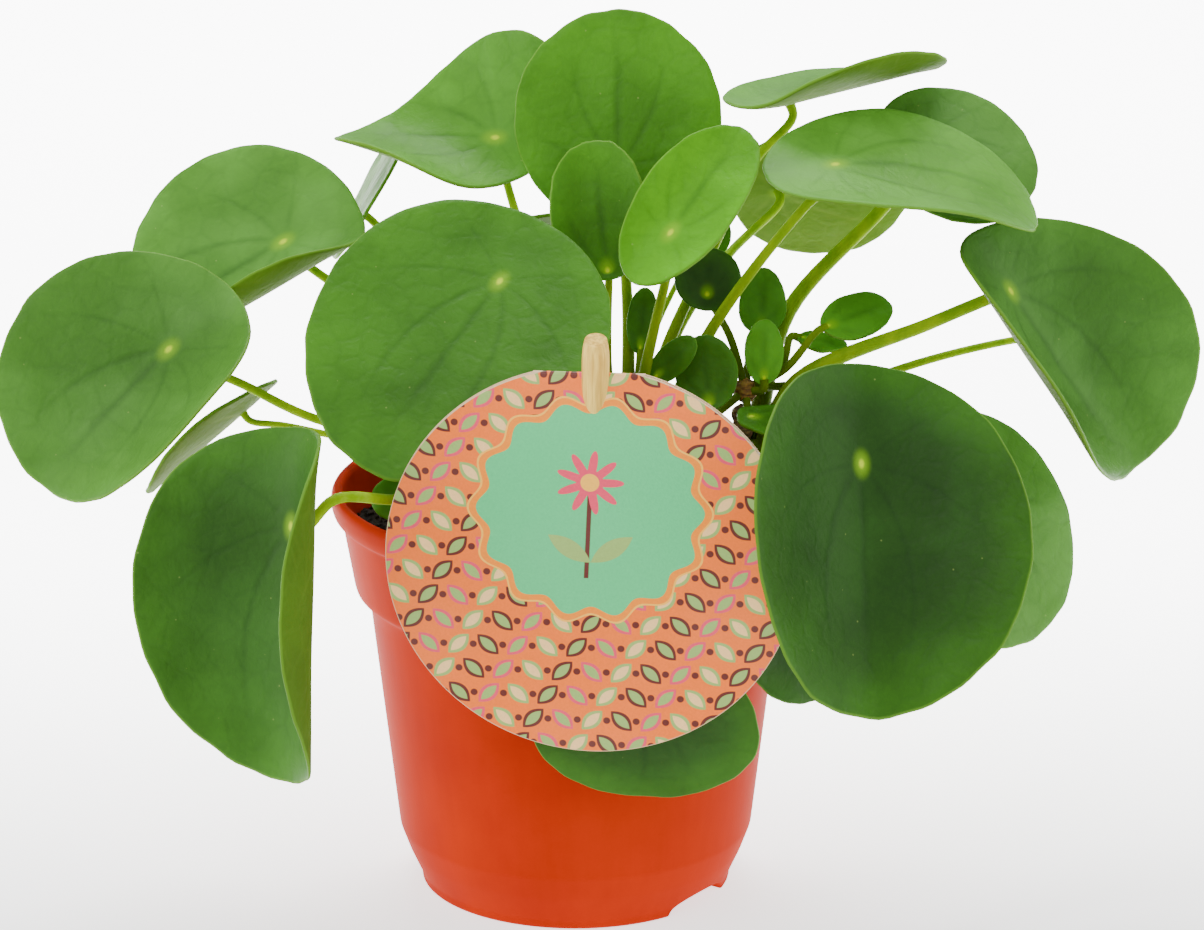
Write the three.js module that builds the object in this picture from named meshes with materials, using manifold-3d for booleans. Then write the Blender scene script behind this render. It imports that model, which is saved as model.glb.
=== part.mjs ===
// A potted chinese money plant (pilea) in a nursery pot, with a folded card label on a wooden stick.
// Millimetres, +Z up. The origin is the middle of the pot's floor, on the surface that the pot stands on.
// The viewer's side is -Y, and +X is the viewer's right.

import * as THREE from 'three';
import { mergeVertices } from 'three/addons/utils/BufferGeometryUtils.js';
import Module from 'manifold-3d';

const wasm = await Module();
wasm.setup();

// Driving dimensions
const seatGap = 0.3; // clearance between pieces that touch on the real plant
const potHeight = 102;
const rimRadius = 60;
const footRadius = 38.6;
const potSides = 40;
const drainTop = 4.8; // roof of the ring channel under the floor
const notchHalfWidth = 11.5;
const notchHeight = 4.4;
const notchAngles = [54, 234]; // degrees, from the viewer's side round to the right
const drainRadius = 3.2;
const drainRing = 28.5;
const drainCount = 6;
const soilLevel = 91;
const soilBump = 1.2;
const holeFloor = 60; // stems stand this high above the surface, inside the soil
const bladeThickness = 0.9;
const stalkSides = 6;
const stalkSteps = 7;
const bladeSides = 20;
const bladeRings = 3;

const mainStem = { foot: [10, 6, holeFloor], head: [13, 5, 112], radius: 5, headRadius: 4.6 };
const sideStem = { foot: [38, 10, holeFloor], head: [41.5, 12, 119], radius: 3.6, headRadius: 2.8 };

const stick = { radius: 3.2, tip: [5.2, -71, 159], foot: [4, -22, 45], sides: 12 };

const label = {
  radius: 48.4,
  centre: [4, -63, 103],
  leanForward: 4, // degrees
  turnLeft: 6, // degrees
  card: 0.6,
  leafGap: 0.5,
  foldHalfLength: 13,
  sides: 44,
};

// Colours
const colours = {
  terracotta: '#c8481f',
  soil: '#1d1712',
  leafGreen: '#3c7a2c',
  stalkGreen: '#8ca632',
  stemBrown: '#6b5136',
  card: '#f0a070',
  wood: '#dcb67c',
};

function finish(colour, roughness) {
  return new THREE.MeshStandardMaterial({ color: colours[colour], roughness, metalness: 0 });
}

const materials = {
  pot: finish('terracotta', 0.5),
  soil: finish('soil', 1),
  leaf: finish('leafGreen', 0.45),
  stalk: finish('stalkGreen', 0.5),
  stem: finish('stemBrown', 0.8),
  label: finish('card', 0.6),
  wood: finish('wood', 0.7),
};

const degrees = THREE.MathUtils.degToRad;

// Solids: geometries become manifolds for joining and cutting, and come back as one closed mesh

function toSolid(geometry) {
  const bare = geometry.clone();
  bare.deleteAttribute('normal');
  bare.deleteAttribute('uv');
  const merged = mergeVertices(bare, 1e-4);
  return new wasm.Manifold(new wasm.Mesh({
    numProp: 3,
    vertProperties: new Float32Array(merged.attributes.position.array),
    triVerts: new Uint32Array(merged.index.array),
  }));
}

function toGeometry(solid) {
  const mesh = solid.getMesh();
  const geometry = new THREE.BufferGeometry();
  geometry.setAttribute('position', new THREE.BufferAttribute(mesh.vertProperties, 3));
  geometry.setIndex(new THREE.BufferAttribute(mesh.triVerts, 1));
  return geometry;
}

function joined(solids) {
  return solids.reduce((whole, next) => whole.add(next));
}

// A turned shape: the profile is [radius, height] pairs that start and end on the axis
function turned(profile, sides) {
  const points = profile.map(([radius, height]) => new THREE.Vector2(radius, height));
  return new THREE.LatheGeometry(points, sides).rotateX(Math.PI / 2);
}

// A closed tube along a curve, with a radius that may change and an end that may be cut at a slant
function tube(curve, radiusAt, steps, sides, endNormal) {
  const frames = curve.computeFrenetFrames(steps, false);
  const positions = [];
  const index = [];
  for (let i = 0; i <= steps; i += 1) {
    const centre = curve.getPointAt(i / steps);
    const radius = radiusAt(i / steps);
    let across = frames.normals[i];
    let beside = frames.binormals[i];
    if (endNormal && i === steps) {
      across = across.clone().addScaledVector(endNormal, -across.dot(endNormal)).normalize();
      beside = new THREE.Vector3().crossVectors(endNormal, across);
    }
    for (let k = 0; k < sides; k += 1) {
      const angle = (2 * Math.PI * k) / sides;
      const point = centre.clone();
      point.addScaledVector(across, radius * Math.cos(angle));
      point.addScaledVector(beside, radius * Math.sin(angle));
      positions.push(point.x, point.y, point.z);
    }
  }
  for (let i = 0; i < steps; i += 1) {
    for (let k = 0; k < sides; k += 1) {
      const a = i * sides + k;
      const b = i * sides + ((k + 1) % sides);
      index.push(a, b, b + sides, a, b + sides, a + sides);
    }
  }
  for (const [ring, flip] of [[0, true], [steps, false]]) {
    for (let k = 1; k < sides - 1; k += 1) {
      const fan = [ring * sides, ring * sides + k, ring * sides + k + 1];
      index.push(...(flip ? fan.reverse() : fan));
    }
  }
  const geometry = new THREE.BufferGeometry();
  geometry.setAttribute('position', new THREE.Float32BufferAttribute(positions, 3));
  geometry.setIndex(index);
  return geometry;
}

function lineCurve(from, to) {
  return new THREE.LineCurve3(new THREE.Vector3(...from), new THREE.Vector3(...to));
}

// Pot

const potOutside = [
  [34.2, 0], [footRadius, 0], [footRadius, 2], [41.8, 9], [44, 15], [50.5, 71], [51.2, 74.5], [54, 76.5],
  [54.5, 78], [57.5, 95], [59.3, 96], [rimRadius, 98], [rimRadius, 100.6], [59.2, potHeight],
];
const potInside = [
  [57.8, potHeight], [57, 101], [56, 95], [53, 79], [49.6, 76.5], [48.9, 72], [42.5, 15.5], [40.4, 10],
  [38.6, 6.5],
];

function makePot() {
  const channel = [[0, 0], [22, 0], [22.6, drainTop], [33.4, drainTop]];
  const floor = [[21.2, 6.5], [20.4, 2], [0, 2]];
  let pot = toSolid(turned([...channel, ...potOutside, ...potInside, ...floor], potSides));
  for (const angle of notchAngles) {
    const notch = new THREE.CylinderGeometry(1, 1, 16, 20);
    notch.scale(notchHalfWidth, 1, notchHeight);
    notch.translate(0, -(footRadius + 0.5), 0);
    notch.rotateZ(degrees(angle));
    pot = pot.subtract(toSolid(notch));
  }
  for (let i = 0; i < drainCount; i += 1) {
    const hole = new THREE.CylinderGeometry(drainRadius, drainRadius, 8, 14).rotateX(Math.PI / 2);
    hole.translate(0, -drainRing, drainTop + 1);
    hole.rotateZ((2 * Math.PI * i) / drainCount);
    pot = pot.subtract(toSolid(hole));
  }
  return toGeometry(pot);
}

// Soil: it follows the pot's inside and has a low uneven top

function innerRadiusAt(height) {
  for (let i = 1; i < potInside.length; i += 1) {
    const [upperRadius, upper] = potInside[i - 1];
    const [lowerRadius, lower] = potInside[i];
    if (height <= upper && height >= lower) {
      return lowerRadius + ((upperRadius - lowerRadius) * (height - lower)) / (upper - lower);
    }
  }
  return potInside.at(-1)[0];
}

function soilHeight(x, y) {
  const broad = Math.sin(0.13 * x + 1.2) + Math.cos(0.17 * y - 0.4);
  const fine = Math.sin(0.41 * x - 0.33 * y) + Math.cos(0.37 * x + 0.45 * y + 2);
  return soilLevel + soilBump * (0.45 * broad + 0.35 * fine);
}

function makeSoil() {
  const sides = 32;
  const top = innerRadiusAt(soilLevel) - seatGap;
  const walls = [88, 79, 76.5, 72, 15.5, 10, 6.5 + seatGap];
  const rings = [[0, 2 + seatGap], [20, 2 + seatGap], [20.8, 6.5 + seatGap]];
  for (const height of walls.slice().reverse()) {
    rings.push([(innerRadiusAt(height) - seatGap) * Math.cos(Math.PI / potSides) - 0.15, height]);
  }
  for (const share of [0.985, 0.8, 0.6, 0.4, 0.2, 0]) {
    rings.push([top * share, soilLevel]);
  }
  const geometry = turned(rings, sides);
  const position = geometry.attributes.position;
  for (let i = 0; i < position.count; i += 1) {
    if (position.getZ(i) > 90) {
      position.setZ(i, soilHeight(position.getX(i), position.getY(i)));
    }
  }
  let soil = toSolid(geometry);
  for (const stem of [mainStem, sideStem]) {
    soil = soil.subtract(toSolid(stemHole(stem.foot, stem.head, stem.radius + seatGap)));
  }
  return toGeometry(soil.subtract(toSolid(stemHole(stick.foot, stick.tip, stick.radius + seatGap))));
}

// A plain hole round a stem: the same line, a little wider and deeper
function stemHole(foot, head, radius) {
  const line = lineCurve(foot, head);
  const deeper = line.getPointAt(0).addScaledVector(line.getTangentAt(0), -seatGap);
  return tube(lineCurve(deeper.toArray(), head), () => radius, 1, 12);
}

// Stems and the stick

function makeStem(stem) {
  const line = lineCurve(stem.foot, stem.head);
  const radiusAt = (share) => {
    const soilShare = 0.55;
    if (share < soilShare) return stem.radius;
    const rise = (share - soilShare) / (1 - soilShare);
    return stem.radius + (stem.headRadius - stem.radius) * rise;
  };
  return tube(line, radiusAt, 8, 10);
}

function makeStick() {
  const line = lineCurve(stick.foot, stick.tip);
  const radiusAt = (share) => {
    const roundedFrom = 0.94;
    if (share <= roundedFrom) return stick.radius;
    const rise = (share - roundedFrom) / (1 - roundedFrom);
    return stick.radius * (1 - 0.2 * rise ** 3);
  };
  return tube(line, radiusAt, 25, stick.sides);
}

// Label: two round card leaves folded together along a short chord, slotted where the stick passes

function makeLabel() {
  const rise = Math.sqrt(label.radius ** 2 - label.foldHalfLength ** 2);
  const start = Math.atan2(rise, -label.foldHalfLength);
  const end = Math.atan2(rise, label.foldHalfLength) + 2 * Math.PI;
  const outline = new THREE.Shape();
  outline.absarc(0, 0, label.radius, start, end, false);
  outline.closePath();
  const settings = { depth: label.card, bevelEnabled: false, curveSegments: label.sides };
  const front = new THREE.ExtrudeGeometry(outline, settings);
  const back = new THREE.ExtrudeGeometry(outline, settings);
  back.translate(0, 0, -label.card - label.leafGap);
  const foldRadius = label.card + label.leafGap / 2;
  const fold = new THREE.CylinderGeometry(foldRadius, foldRadius, 2 * label.foldHalfLength, 12);
  fold.rotateZ(Math.PI / 2);
  fold.translate(0, rise - foldRadius * 0.5, -label.leafGap / 2);
  let card = joined([front, back, fold].map(toSolid));
  const stand = new THREE.Matrix4().makeRotationX(Math.PI / 2 + degrees(label.leanForward));
  stand.premultiply(new THREE.Matrix4().makeRotationZ(-degrees(label.turnLeft)));
  stand.setPosition(...label.centre);
  const standing = toGeometry(card);
  standing.applyMatrix4(stand);
  card = toSolid(standing);
  const slot = tube(lineCurve(stick.foot, [...stick.tip]), () => stick.radius + seatGap, 1, stick.sides);
  return toGeometry(card.subtract(toSolid(slot)));
}

// Leaves. A blade starts at its pale spot, where the stalk meets its underside.
// facing: [turn to the viewer's right, upward tilt] of the upper face, degrees, [0, 0] faces the viewer
// tip: which way the tip points on that face, degrees, 0 straight down, + to the right
// size: [length, width]; spot share: how much of the length lies between the base edge and the spot
// egg: wider towards the tip, or the base if negative; bend: [tip, base] turned down, degrees at the edge
// cup: [left, right] side turned up, degrees at the edge; fold: a crease along the middle, degrees
// slant: the outline's skew; twist: degrees over the length; stalk: its radius; via: the stalk's waypoints

const leafDefaults = {
  share: 0.3, egg: 0, slant: 0, bend: [0, 0], cup: [0, 0], fold: 0, twist: 0, stalk: 1.3, via: [],
};
const foldReach = 0.15;
const walkSteps = 24;

const bigLeaves = [
  {
    name: 'far_left', spot: [-98, -12, 140], facing: [-5, 35], tip: -40, size: [67.5, 67], share: 0.32,
    bend: [5, -15], cup: [42, -10], fold: 25, stalk: 1.3, from: mainStem, height: 103,
    via: [[-25, 4, 108], [-64, 0, 119], [-82, -6, 130]],
  },
  {
    name: 'upper_left', spot: [-72.5, 27.5, 156.5], facing: [-20, 42], tip: -50, size: [62.5, 70],
    share: 0.34, cup: [105, 0], stalk: 1.3, from: mainStem, height: 107,
    via: [[-35, 18, 132], [-61, 25, 147]],
  },
  {
    name: 'low_left', spot: [-65.5, -70, 114], facing: [-45, 15], tip: 11, size: [84, 77], share: 0.28,
    egg: -0.05, slant: 0.03, bend: [5, 10], cup: [60, 45], fold: 20, stalk: 1.5, from: mainStem, height: 99,
    via: [[-20, -26, 105], [-43, -50, 114], [-56, -63, 118]],
  },
  {
    name: 'centre_left', spot: [-18, -12, 157], facing: [0, 50], tip: -31, size: [84, 72.5], share: 0.25,
    egg: -0.08, slant: 0.02, fold: 5, stalk: 1.7, from: mainStem, height: 109, via: [[-6, 0, 130]],
  },
  {
    name: 'top_left', spot: [-20, 40, 180], facing: [-10, 42], tip: -90, size: [54, 49], share: 0.3,
    egg: -0.2, slant: 0.22, cup: [55, 35], twist: 58, stalk: 1.2, from: mainStem, seat: 165,
    via: [[0, 19, 135], [-14, 33, 160]],
  },
  {
    name: 'top', spot: [10.5, 22, 177], facing: [0, 20], tip: 180, size: [55, 52], share: 0.28,
    stalk: 1.3, from: mainStem, seat: 92, via: [[13, 18, 140]],
  },
  {
    name: 'young_left', spot: [8, 4, 155], facing: [-5, 15], tip: -172, size: [35, 26], share: 0.06,
    cup: [40, 50], stalk: 1, from: mainStem, seat: 236, via: [[8, 2, 130]],
  },
  {
    name: 'young_right', spot: [23, -8, 168], facing: [-15, 45], tip: 157, size: [50, 26], share: 0.32,
    cup: [50, 20], stalk: 1.2, from: mainStem, seat: 308, via: [[17, -1, 131]],
  },
  {
    name: 'top_right', spot: [53, 38, 190], facing: [-119, 76], tip: -150, size: [58, 50], share: 0.29,
    bend: [-4, -32], cup: [26, 26], twist: -24, stalk: 1.3, from: mainStem, seat: 20,
    via: [[23, 14, 134], [35, 26, 157], [44.5, 32, 176]],
  },
  {
    name: 'right_back', spot: [88, 36, 181], facing: [10, 45], tip: 48, size: [44, 38], share: 0.32,
    stalk: 1.9, from: sideStem, height: 111, via: [[53, 26, 139], [77, 34, 164]],
  },
  {
    name: 'right_upper', spot: [63, 4, 182], facing: [-3, 66], tip: 98, size: [74, 47], share: 0.24,
    bend: [43, 0], cup: [0, 25], stalk: 1.4, from: mainStem, height: 109, via: [[34, 12, 139], [56, 9, 170]],
  },
  {
    name: 'back_under', spot: [51.5, 58, 162], facing: [180, 35], tip: -90, size: [46, 50], share: 0.27,
    stalk: 1.3, from: mainStem, height: 107, via: [[24, 22, 132], [38, 38, 150]],
  },
  {
    name: 'far_right', spot: [107, 12, 148], facing: [48, 25], tip: 23, size: [76, 74], share: 0.24,
    slant: 0.1, cup: [25, 25], fold: 28, stalk: 1.8, from: sideStem, height: 108,
    via: [[55, 12, 125], [87, 14, 139]],
  },
  {
    name: 'right_front', spot: [67, -60, 126], facing: [25, 25], tip: -10, size: [85, 81], share: 0.285,
    cup: [20, 20], fold: 20, stalk: 1.7, from: sideStem, height: 104, via: [[47, -28, 116], [57, -45, 120]],
  },
  {
    name: 'right_low_back', spot: [98, 5, 96], facing: [35, 25], tip: 10, size: [62, 56], share: 0.38,
    stalk: 1.4, from: sideStem, height: 101, via: [[62, 9, 108], [84, 7, 103]],
  },
  {
    name: 'low_right', spot: [57, -37, 88], facing: [35, 5], tip: -10, size: [42, 40], share: 0.3,
    stalk: 1.1, from: sideStem, height: 95, via: [[49, -8, 103], [55, -30, 102]],
  },
  {
    name: 'front', spot: [16.5, -56.6, 68], facing: [0, -4], tip: 0, size: [48, 53], share: 0.42,
    egg: 0.3, slant: 0.04, stalk: 1, from: sideStem, height: 101,
    via: [[38, -20, 108], [40, -44, 106], [36, -51, 88]],
  },
  {
    name: 'edge_left', spot: [-83.5, 22, 114.5], facing: [-110, 46], tip: 22, size: [44, 42], share: 0.27,
    cup: [20, 20], stalk: 1, from: mainStem, height: 98, via: [[-30, 14, 103], [-72, 20, 111]],
  },
  {
    name: 'left_back', spot: [-56, 60, 156], facing: [-88, 30], tip: 180, size: [42, 42], share: 0.32,
    stalk: 1.2, from: mainStem, height: 105, via: [[-26, 30, 130]],
  },
  {
    name: 'hidden_right', spot: [130, 50, 128], facing: [60, 50], tip: 0, size: [42, 40], share: 0.3,
    stalk: 1.1, from: sideStem, height: 104, via: [[60, 18, 117], [82, 24, 125], [112, 36, 129]],
  },
  {
    name: 'back_dark', spot: [-10, 52, 154], facing: [-170, 60], tip: 0, size: [38, 36], share: 0.32,
    stalk: 1.1, from: mainStem, height: 110, via: [[3, 26, 130]],
  },
];

// Small leaves that stand on the main stem one by one
const smallLeaves = [
  {
    name: 'inner_back', spot: [29.5, 44, 150.5], facing: [-5, 25], tip: -175, size: [18, 20], share: 0.3,
    stalk: 0.8, from: mainStem, height: 104, via: [[18, 30, 128]],
  },
  {
    name: 'inner_low', spot: [19.5, 3, 128.5], facing: [-10, 5], tip: 137, size: [16, 8], share: 0.1,
    stalk: 0.7, from: mainStem, height: 107, via: [[20, 2, 118]],
  },
  {
    name: 'inner_centre', spot: [16, 12.5, 133], facing: [0, 10], tip: 175, size: [17, 8], share: 0.08,
    stalk: 0.7, from: mainStem, height: 110, via: [[15, 12.5, 121]],
  },
  {
    name: 'rim_left', spot: [-42, -26, 107], facing: [0, 30], tip: -80, size: [12, 11], share: 0.4,
    stalk: 0.7, from: mainStem, height: 96, via: [[-20, -15, 99]],
  },
];

// The young leaves of the side shoot, all growing from one knob on top of its stem
const shootKnob = { centre: [42, 12, 122.6], radius: 3.2 };
const shootLeaves = [
  { spot: [62, 14, 138.5], facing: [10, 50], tip: 110, size: [20, 13], share: 0.06, via: [[52, 13, 128]] },
  { spot: [46.5, 8, 126.5], facing: [10, 10], tip: 178, size: [16.5, 10], share: 0.08 },
  {
    spot: [46, 20, 136], facing: [5, 10], tip: 175, size: [17, 12], share: 0.08, egg: -0.2,
    via: [[43, 16, 129]],
  },
  { spot: [56, 20.5, 134], facing: [20, 70], tip: 62, size: [13, 8], share: 0.08, via: [[51, 15, 128]] },
  { spot: [32.5, 15.5, 146], facing: [5, 15], tip: 175, size: [16, 17], share: 0.25, via: [[38, 15, 136]] },
  { spot: [33, 4, 121], facing: [-10, 12], tip: -172, size: [19, 16], share: 0.06 },
  { spot: [52, 17.3, 122.5], facing: [0, 80], tip: 90, size: [12, 6.5], share: 0.1 },
  { spot: [43, 2, 119], facing: [10, 72], tip: 80, size: [17, 13], share: 0.2, cup: [-15, -15] },
].map((leaf) => ({ stalk: 0.8, ...leaf }));

function settled(leaf) {
  return { ...leafDefaults, ...leaf };
}

// The blade's own directions: out of the upper face, towards the tip, and to its left
function bladeAxes(leaf) {
  const [side, up] = leaf.facing.map(degrees);
  const roll = degrees(leaf.tip);
  const out = new THREE.Vector3(Math.cos(up) * Math.sin(side), -Math.cos(up) * Math.cos(side), Math.sin(up));
  const rise = new THREE.Vector3(-Math.sin(up) * Math.sin(side), Math.sin(up) * Math.cos(side), Math.cos(up));
  const right = new THREE.Vector3(Math.cos(side), Math.sin(side), 0);
  const tip = rise.multiplyScalar(-Math.cos(roll)).addScaledVector(right, Math.sin(roll));
  return { out, tip, left: new THREE.Vector3().crossVectors(out, tip) };
}

// Walks out along a bending line: how far it gets, how high it rises, and its slope at the end
function walk(length, slopeAt) {
  let along = 0;
  let height = 0;
  for (let i = 0; i < walkSteps; i += 1) {
    const slope = slopeAt((length * (i + 0.5)) / walkSteps);
    along += (Math.cos(slope) * length) / walkSteps;
    height += (Math.sin(slope) * length) / walkSteps;
  }
  return { along, height, slope: slopeAt(length) };
}

// A point of the upper face: reach 0 at the spot, 1 at the edge; round is the angle from the tip
function bladePoint(leaf, axes, reach, round) {
  const [length, width] = leaf.size;
  const toTip = length * (1 - leaf.share);
  const toBase = length * leaf.share;
  const lean = 1 + leaf.slant * Math.sin(2 * round);
  const flatAlong = reach * (length * (0.5 - leaf.share) + (length / 2) * Math.cos(round) * lean);
  const flatAcross = reach * (width / 2) * Math.sin(round) * (1 + leaf.egg * Math.cos(round)) * lean;

  const cup = degrees(flatAcross > 0 ? leaf.cup[0] : leaf.cup[1]);
  const across = walk(Math.abs(flatAcross), (distance) => {
    const share = distance / (width / 2);
    return cup * share + degrees(leaf.fold) * (1 - Math.exp(-share / foldReach));
  });
  const bend = degrees(flatAlong > 0 ? leaf.bend[0] : leaf.bend[1]);
  const span = flatAlong > 0 ? toTip : toBase;
  const ahead = walk(Math.abs(flatAlong), (distance) => (bend * distance) / span);

  const forward = Math.sign(flatAlong);
  let sideways = Math.sign(flatAcross) * across.along;
  let outwards = across.height * Math.cos(ahead.slope) - ahead.height;
  const towardsTip = forward * (ahead.along + across.height * Math.sin(ahead.slope));
  const twist = degrees(leaf.twist) * (flatAlong / length);
  const turnedSide = sideways * Math.cos(twist) - outwards * Math.sin(twist);
  outwards = sideways * Math.sin(twist) + outwards * Math.cos(twist);
  sideways = turnedSide;

  return new THREE.Vector3(...leaf.spot)
    .addScaledVector(axes.tip, towardsTip)
    .addScaledVector(axes.left, sideways)
    .addScaledVector(axes.out, outwards);
}

function faceNormal(leaf, axes, reach, round) {
  const step = 0.02;
  const out = bladePoint(leaf, axes, reach + step, round).sub(bladePoint(leaf, axes, reach - step, round));
  const on = bladePoint(leaf, axes, reach, round + step).sub(bladePoint(leaf, axes, reach, round - step));
  return new THREE.Vector3().crossVectors(out, on).normalize();
}

// A blade: upper and lower face with the same split, closed by a rim
function makeBlade(leaf, rings = bladeRings, sides = bladeSides) {
  const axes = bladeAxes(leaf);
  const upper = [new THREE.Vector3(...leaf.spot)];
  const lower = [upper[0].clone().addScaledVector(axes.out, -bladeThickness)];
  for (let ring = 1; ring <= rings; ring += 1) {
    for (let k = 0; k < sides; k += 1) {
      const reach = ring / rings;
      const round = (2 * Math.PI * k) / sides;
      const point = bladePoint(leaf, axes, reach, round);
      upper.push(point);
      lower.push(point.clone().addScaledVector(faceNormal(leaf, axes, reach, round), -bladeThickness));
    }
  }
  const half = upper.length;
  const index = [];
  const face = (a, b, c) => index.push(a, b, c, half + a, half + c, half + b);
  for (let k = 0; k < sides; k += 1) {
    const next = (k + 1) % sides;
    face(0, 1 + k, 1 + next);
    for (let ring = 0; ring < rings - 1; ring += 1) {
      const a = 1 + ring * sides;
      face(a + k, a + sides + k, a + sides + next);
      face(a + k, a + sides + next, a + next);
    }
    const edge = 1 + (rings - 1) * sides;
    index.push(edge + k, half + edge + k, half + edge + next);
    index.push(edge + k, half + edge + next, edge + next);
  }
  const geometry = new THREE.BufferGeometry();
  const points = [...upper, ...lower].flatMap((point) => point.toArray());
  geometry.setAttribute('position', new THREE.Float32BufferAttribute(points, 3));
  geometry.setIndex(index);
  return geometry;
}

// Where a stalk starts: in a knob, at its own seat on the stem's head, or beside the stem at a height
function stalkStart(leaf, towards) {
  if (!leaf.from) return new THREE.Vector3(...shootKnob.centre);
  const foot = new THREE.Vector3(...leaf.from.foot);
  const head = new THREE.Vector3(...leaf.from.head);
  if (leaf.seat !== undefined) {
    const ring = leaf.from.headRadius - leaf.stalk - 0.2;
    const seat = head.clone();
    seat.x += ring * Math.cos(degrees(leaf.seat));
    seat.y += ring * Math.sin(degrees(leaf.seat));
    const rise = towards.clone().sub(seat).normalize().z;
    seat.z += 0.5 + leaf.stalk * Math.sqrt(1 - rise * rise);
    return seat;
  }
  const start = foot.clone().lerp(head, (leaf.height - foot.z) / (head.z - foot.z));
  const outwards = towards.clone().sub(start).setZ(0).normalize();
  const rise = towards.clone().sub(start).normalize().z;
  return start.addScaledVector(outwards, leaf.from.radius + seatGap + leaf.stalk * Math.abs(rise));
}

// A leaf stalk: from its stem through its own waypoints, and square onto the blade's underside.
// A sunk one runs into its blade, and a young leaf's comes in at the base, in line with the blade
function makeStalk(leaf, sunk = false) {
  const axes = bladeAxes(leaf);
  const below = sunk ? bladeThickness / 2 : bladeThickness + seatGap;
  const arrival = sunk && leaf.share < 0.15 ? axes.tip : axes.out;
  const end = new THREE.Vector3(...leaf.spot).addScaledVector(axes.out, -below);
  const approach = end.clone().addScaledVector(arrival, -3 * leaf.stalk);
  const via = leaf.via.map((point) => new THREE.Vector3(...point));
  const start = stalkStart(leaf, via[0] ?? approach);
  const curve = new THREE.CatmullRomCurve3([start, ...via, approach, end]);
  const radiusAt = (share) => leaf.stalk * (share > 0.97 ? 1.15 : 1);
  return tube(curve, radiusAt, sunk ? 5 : stalkSteps + via.length, stalkSides, arrival);
}

// A small leaf: its stalk runs into the blade, and both are one piece
function smallLeafSolid(leaf) {
  return toSolid(makeBlade(leaf, 2, 14)).add(toSolid(makeStalk(leaf, true)));
}

function makeShoot() {
  const knob = new THREE.SphereGeometry(shootKnob.radius, 10, 8);
  knob.translate(...shootKnob.centre);
  return toGeometry(joined([toSolid(knob), ...shootLeaves.map(settled).map(smallLeafSolid)]));
}

// The plant, node by node

const plant = new THREE.Group();

function add(name, geometry, material) {
  const mesh = new THREE.Mesh(geometry, material);
  mesh.name = name;
  plant.add(mesh);
}

add('pot', makePot(), materials.pot);
add('soil', makeSoil(), materials.soil);
add('stem_main', makeStem(mainStem), materials.stem);
add('stem_side', makeStem(sideStem), materials.stem);
add('label', makeLabel(), materials.label);
add('label_stick', makeStick(), materials.wood);
for (const leaf of bigLeaves.map(settled)) {
  add(`leaf_${leaf.name}`, makeBlade(leaf), materials.leaf);
  add(`stalk_${leaf.name}`, makeStalk(leaf), materials.stalk);
}
for (const leaf of smallLeaves.map(settled)) {
  add(`leaf_${leaf.name}`, toGeometry(smallLeafSolid(leaf)), materials.leaf);
}
add('shoot_leaves', makeShoot(), materials.leaf);

export default plant;
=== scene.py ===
import math

import bpy
import numpy as np
from mathutils import Matrix, Vector


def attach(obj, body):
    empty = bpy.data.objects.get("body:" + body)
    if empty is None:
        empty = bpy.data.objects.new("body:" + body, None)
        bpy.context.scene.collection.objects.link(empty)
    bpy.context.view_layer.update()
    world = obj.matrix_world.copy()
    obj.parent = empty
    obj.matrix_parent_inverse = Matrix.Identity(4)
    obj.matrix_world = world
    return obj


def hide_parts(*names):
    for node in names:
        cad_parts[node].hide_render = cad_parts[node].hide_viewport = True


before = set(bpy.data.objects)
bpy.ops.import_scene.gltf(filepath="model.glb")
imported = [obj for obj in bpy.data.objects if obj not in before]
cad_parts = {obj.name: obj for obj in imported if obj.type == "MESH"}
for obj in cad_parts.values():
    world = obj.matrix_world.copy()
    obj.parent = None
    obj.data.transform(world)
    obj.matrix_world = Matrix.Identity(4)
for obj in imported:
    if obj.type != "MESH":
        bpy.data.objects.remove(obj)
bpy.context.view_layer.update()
mm = 0.001

view = {
    "sensor": 36.0,
    "imageWidth": 1204,
    "focalPixels": 4884,
    "pitchDown": 17.3,
    "aim": (6.6, 0, 107),
    "distance": 1200,
}


def unit(vector):
    return vector / np.linalg.norm(vector)


def circleAngles(sides):
    return 2 * np.pi * np.arange(sides) / sides


# Nodes, for shaders and for geometry: the value of a socket is a number, a colour or a wrapped link


def plug(tree, socket, value):
    if isinstance(value, Link):
        tree.links.new(value.socket, socket)
    else:
        socket.default_value = value


def makeNode(tree, kind, settings=None, inputs=None, output=0):
    node = tree.nodes.new(kind)
    for key, value in (settings or {}).items():
        setattr(node, key, value)
    for key, value in (inputs or {}).items():
        plug(tree, node.inputs[key], value)
    return Link(tree, node.outputs[output])


def mathsNode(operation, swapped=False):
    def method(self, *others):
        items = (*others, self) if swapped else (self, *others)
        return makeNode(self.tree, "ShaderNodeMath", {"operation": operation}, dict(enumerate(items)))

    return method


class Link:
    def __init__(self, tree, socket):
        self.tree = tree
        self.socket = socket

    __add__ = __radd__ = mathsNode("ADD")
    __sub__ = mathsNode("SUBTRACT")
    __rsub__ = mathsNode("SUBTRACT", swapped=True)
    __mul__ = __rmul__ = mathsNode("MULTIPLY")
    __truediv__ = mathsNode("DIVIDE")
    __pow__ = mathsNode("POWER")
    __gt__ = mathsNode("GREATER_THAN")
    __lt__ = mathsNode("LESS_THAN")
    most = mathsNode("MAXIMUM")
    size = mathsNode("ABSOLUTE")
    root = mathsNode("SQRT")
    floor = mathsNode("FLOOR")
    fraction = mathsNode("FRACT")
    cosine = mathsNode("COSINE")
    angle = mathsNode("ARCTAN2")

    def rise(self, low, high):
        inputs = {"Value": self, "From Min": low, "From Max": high}
        return makeNode(self.tree, "ShaderNodeMapRange", {"interpolation_type": "SMOOTHSTEP"}, inputs)


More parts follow.
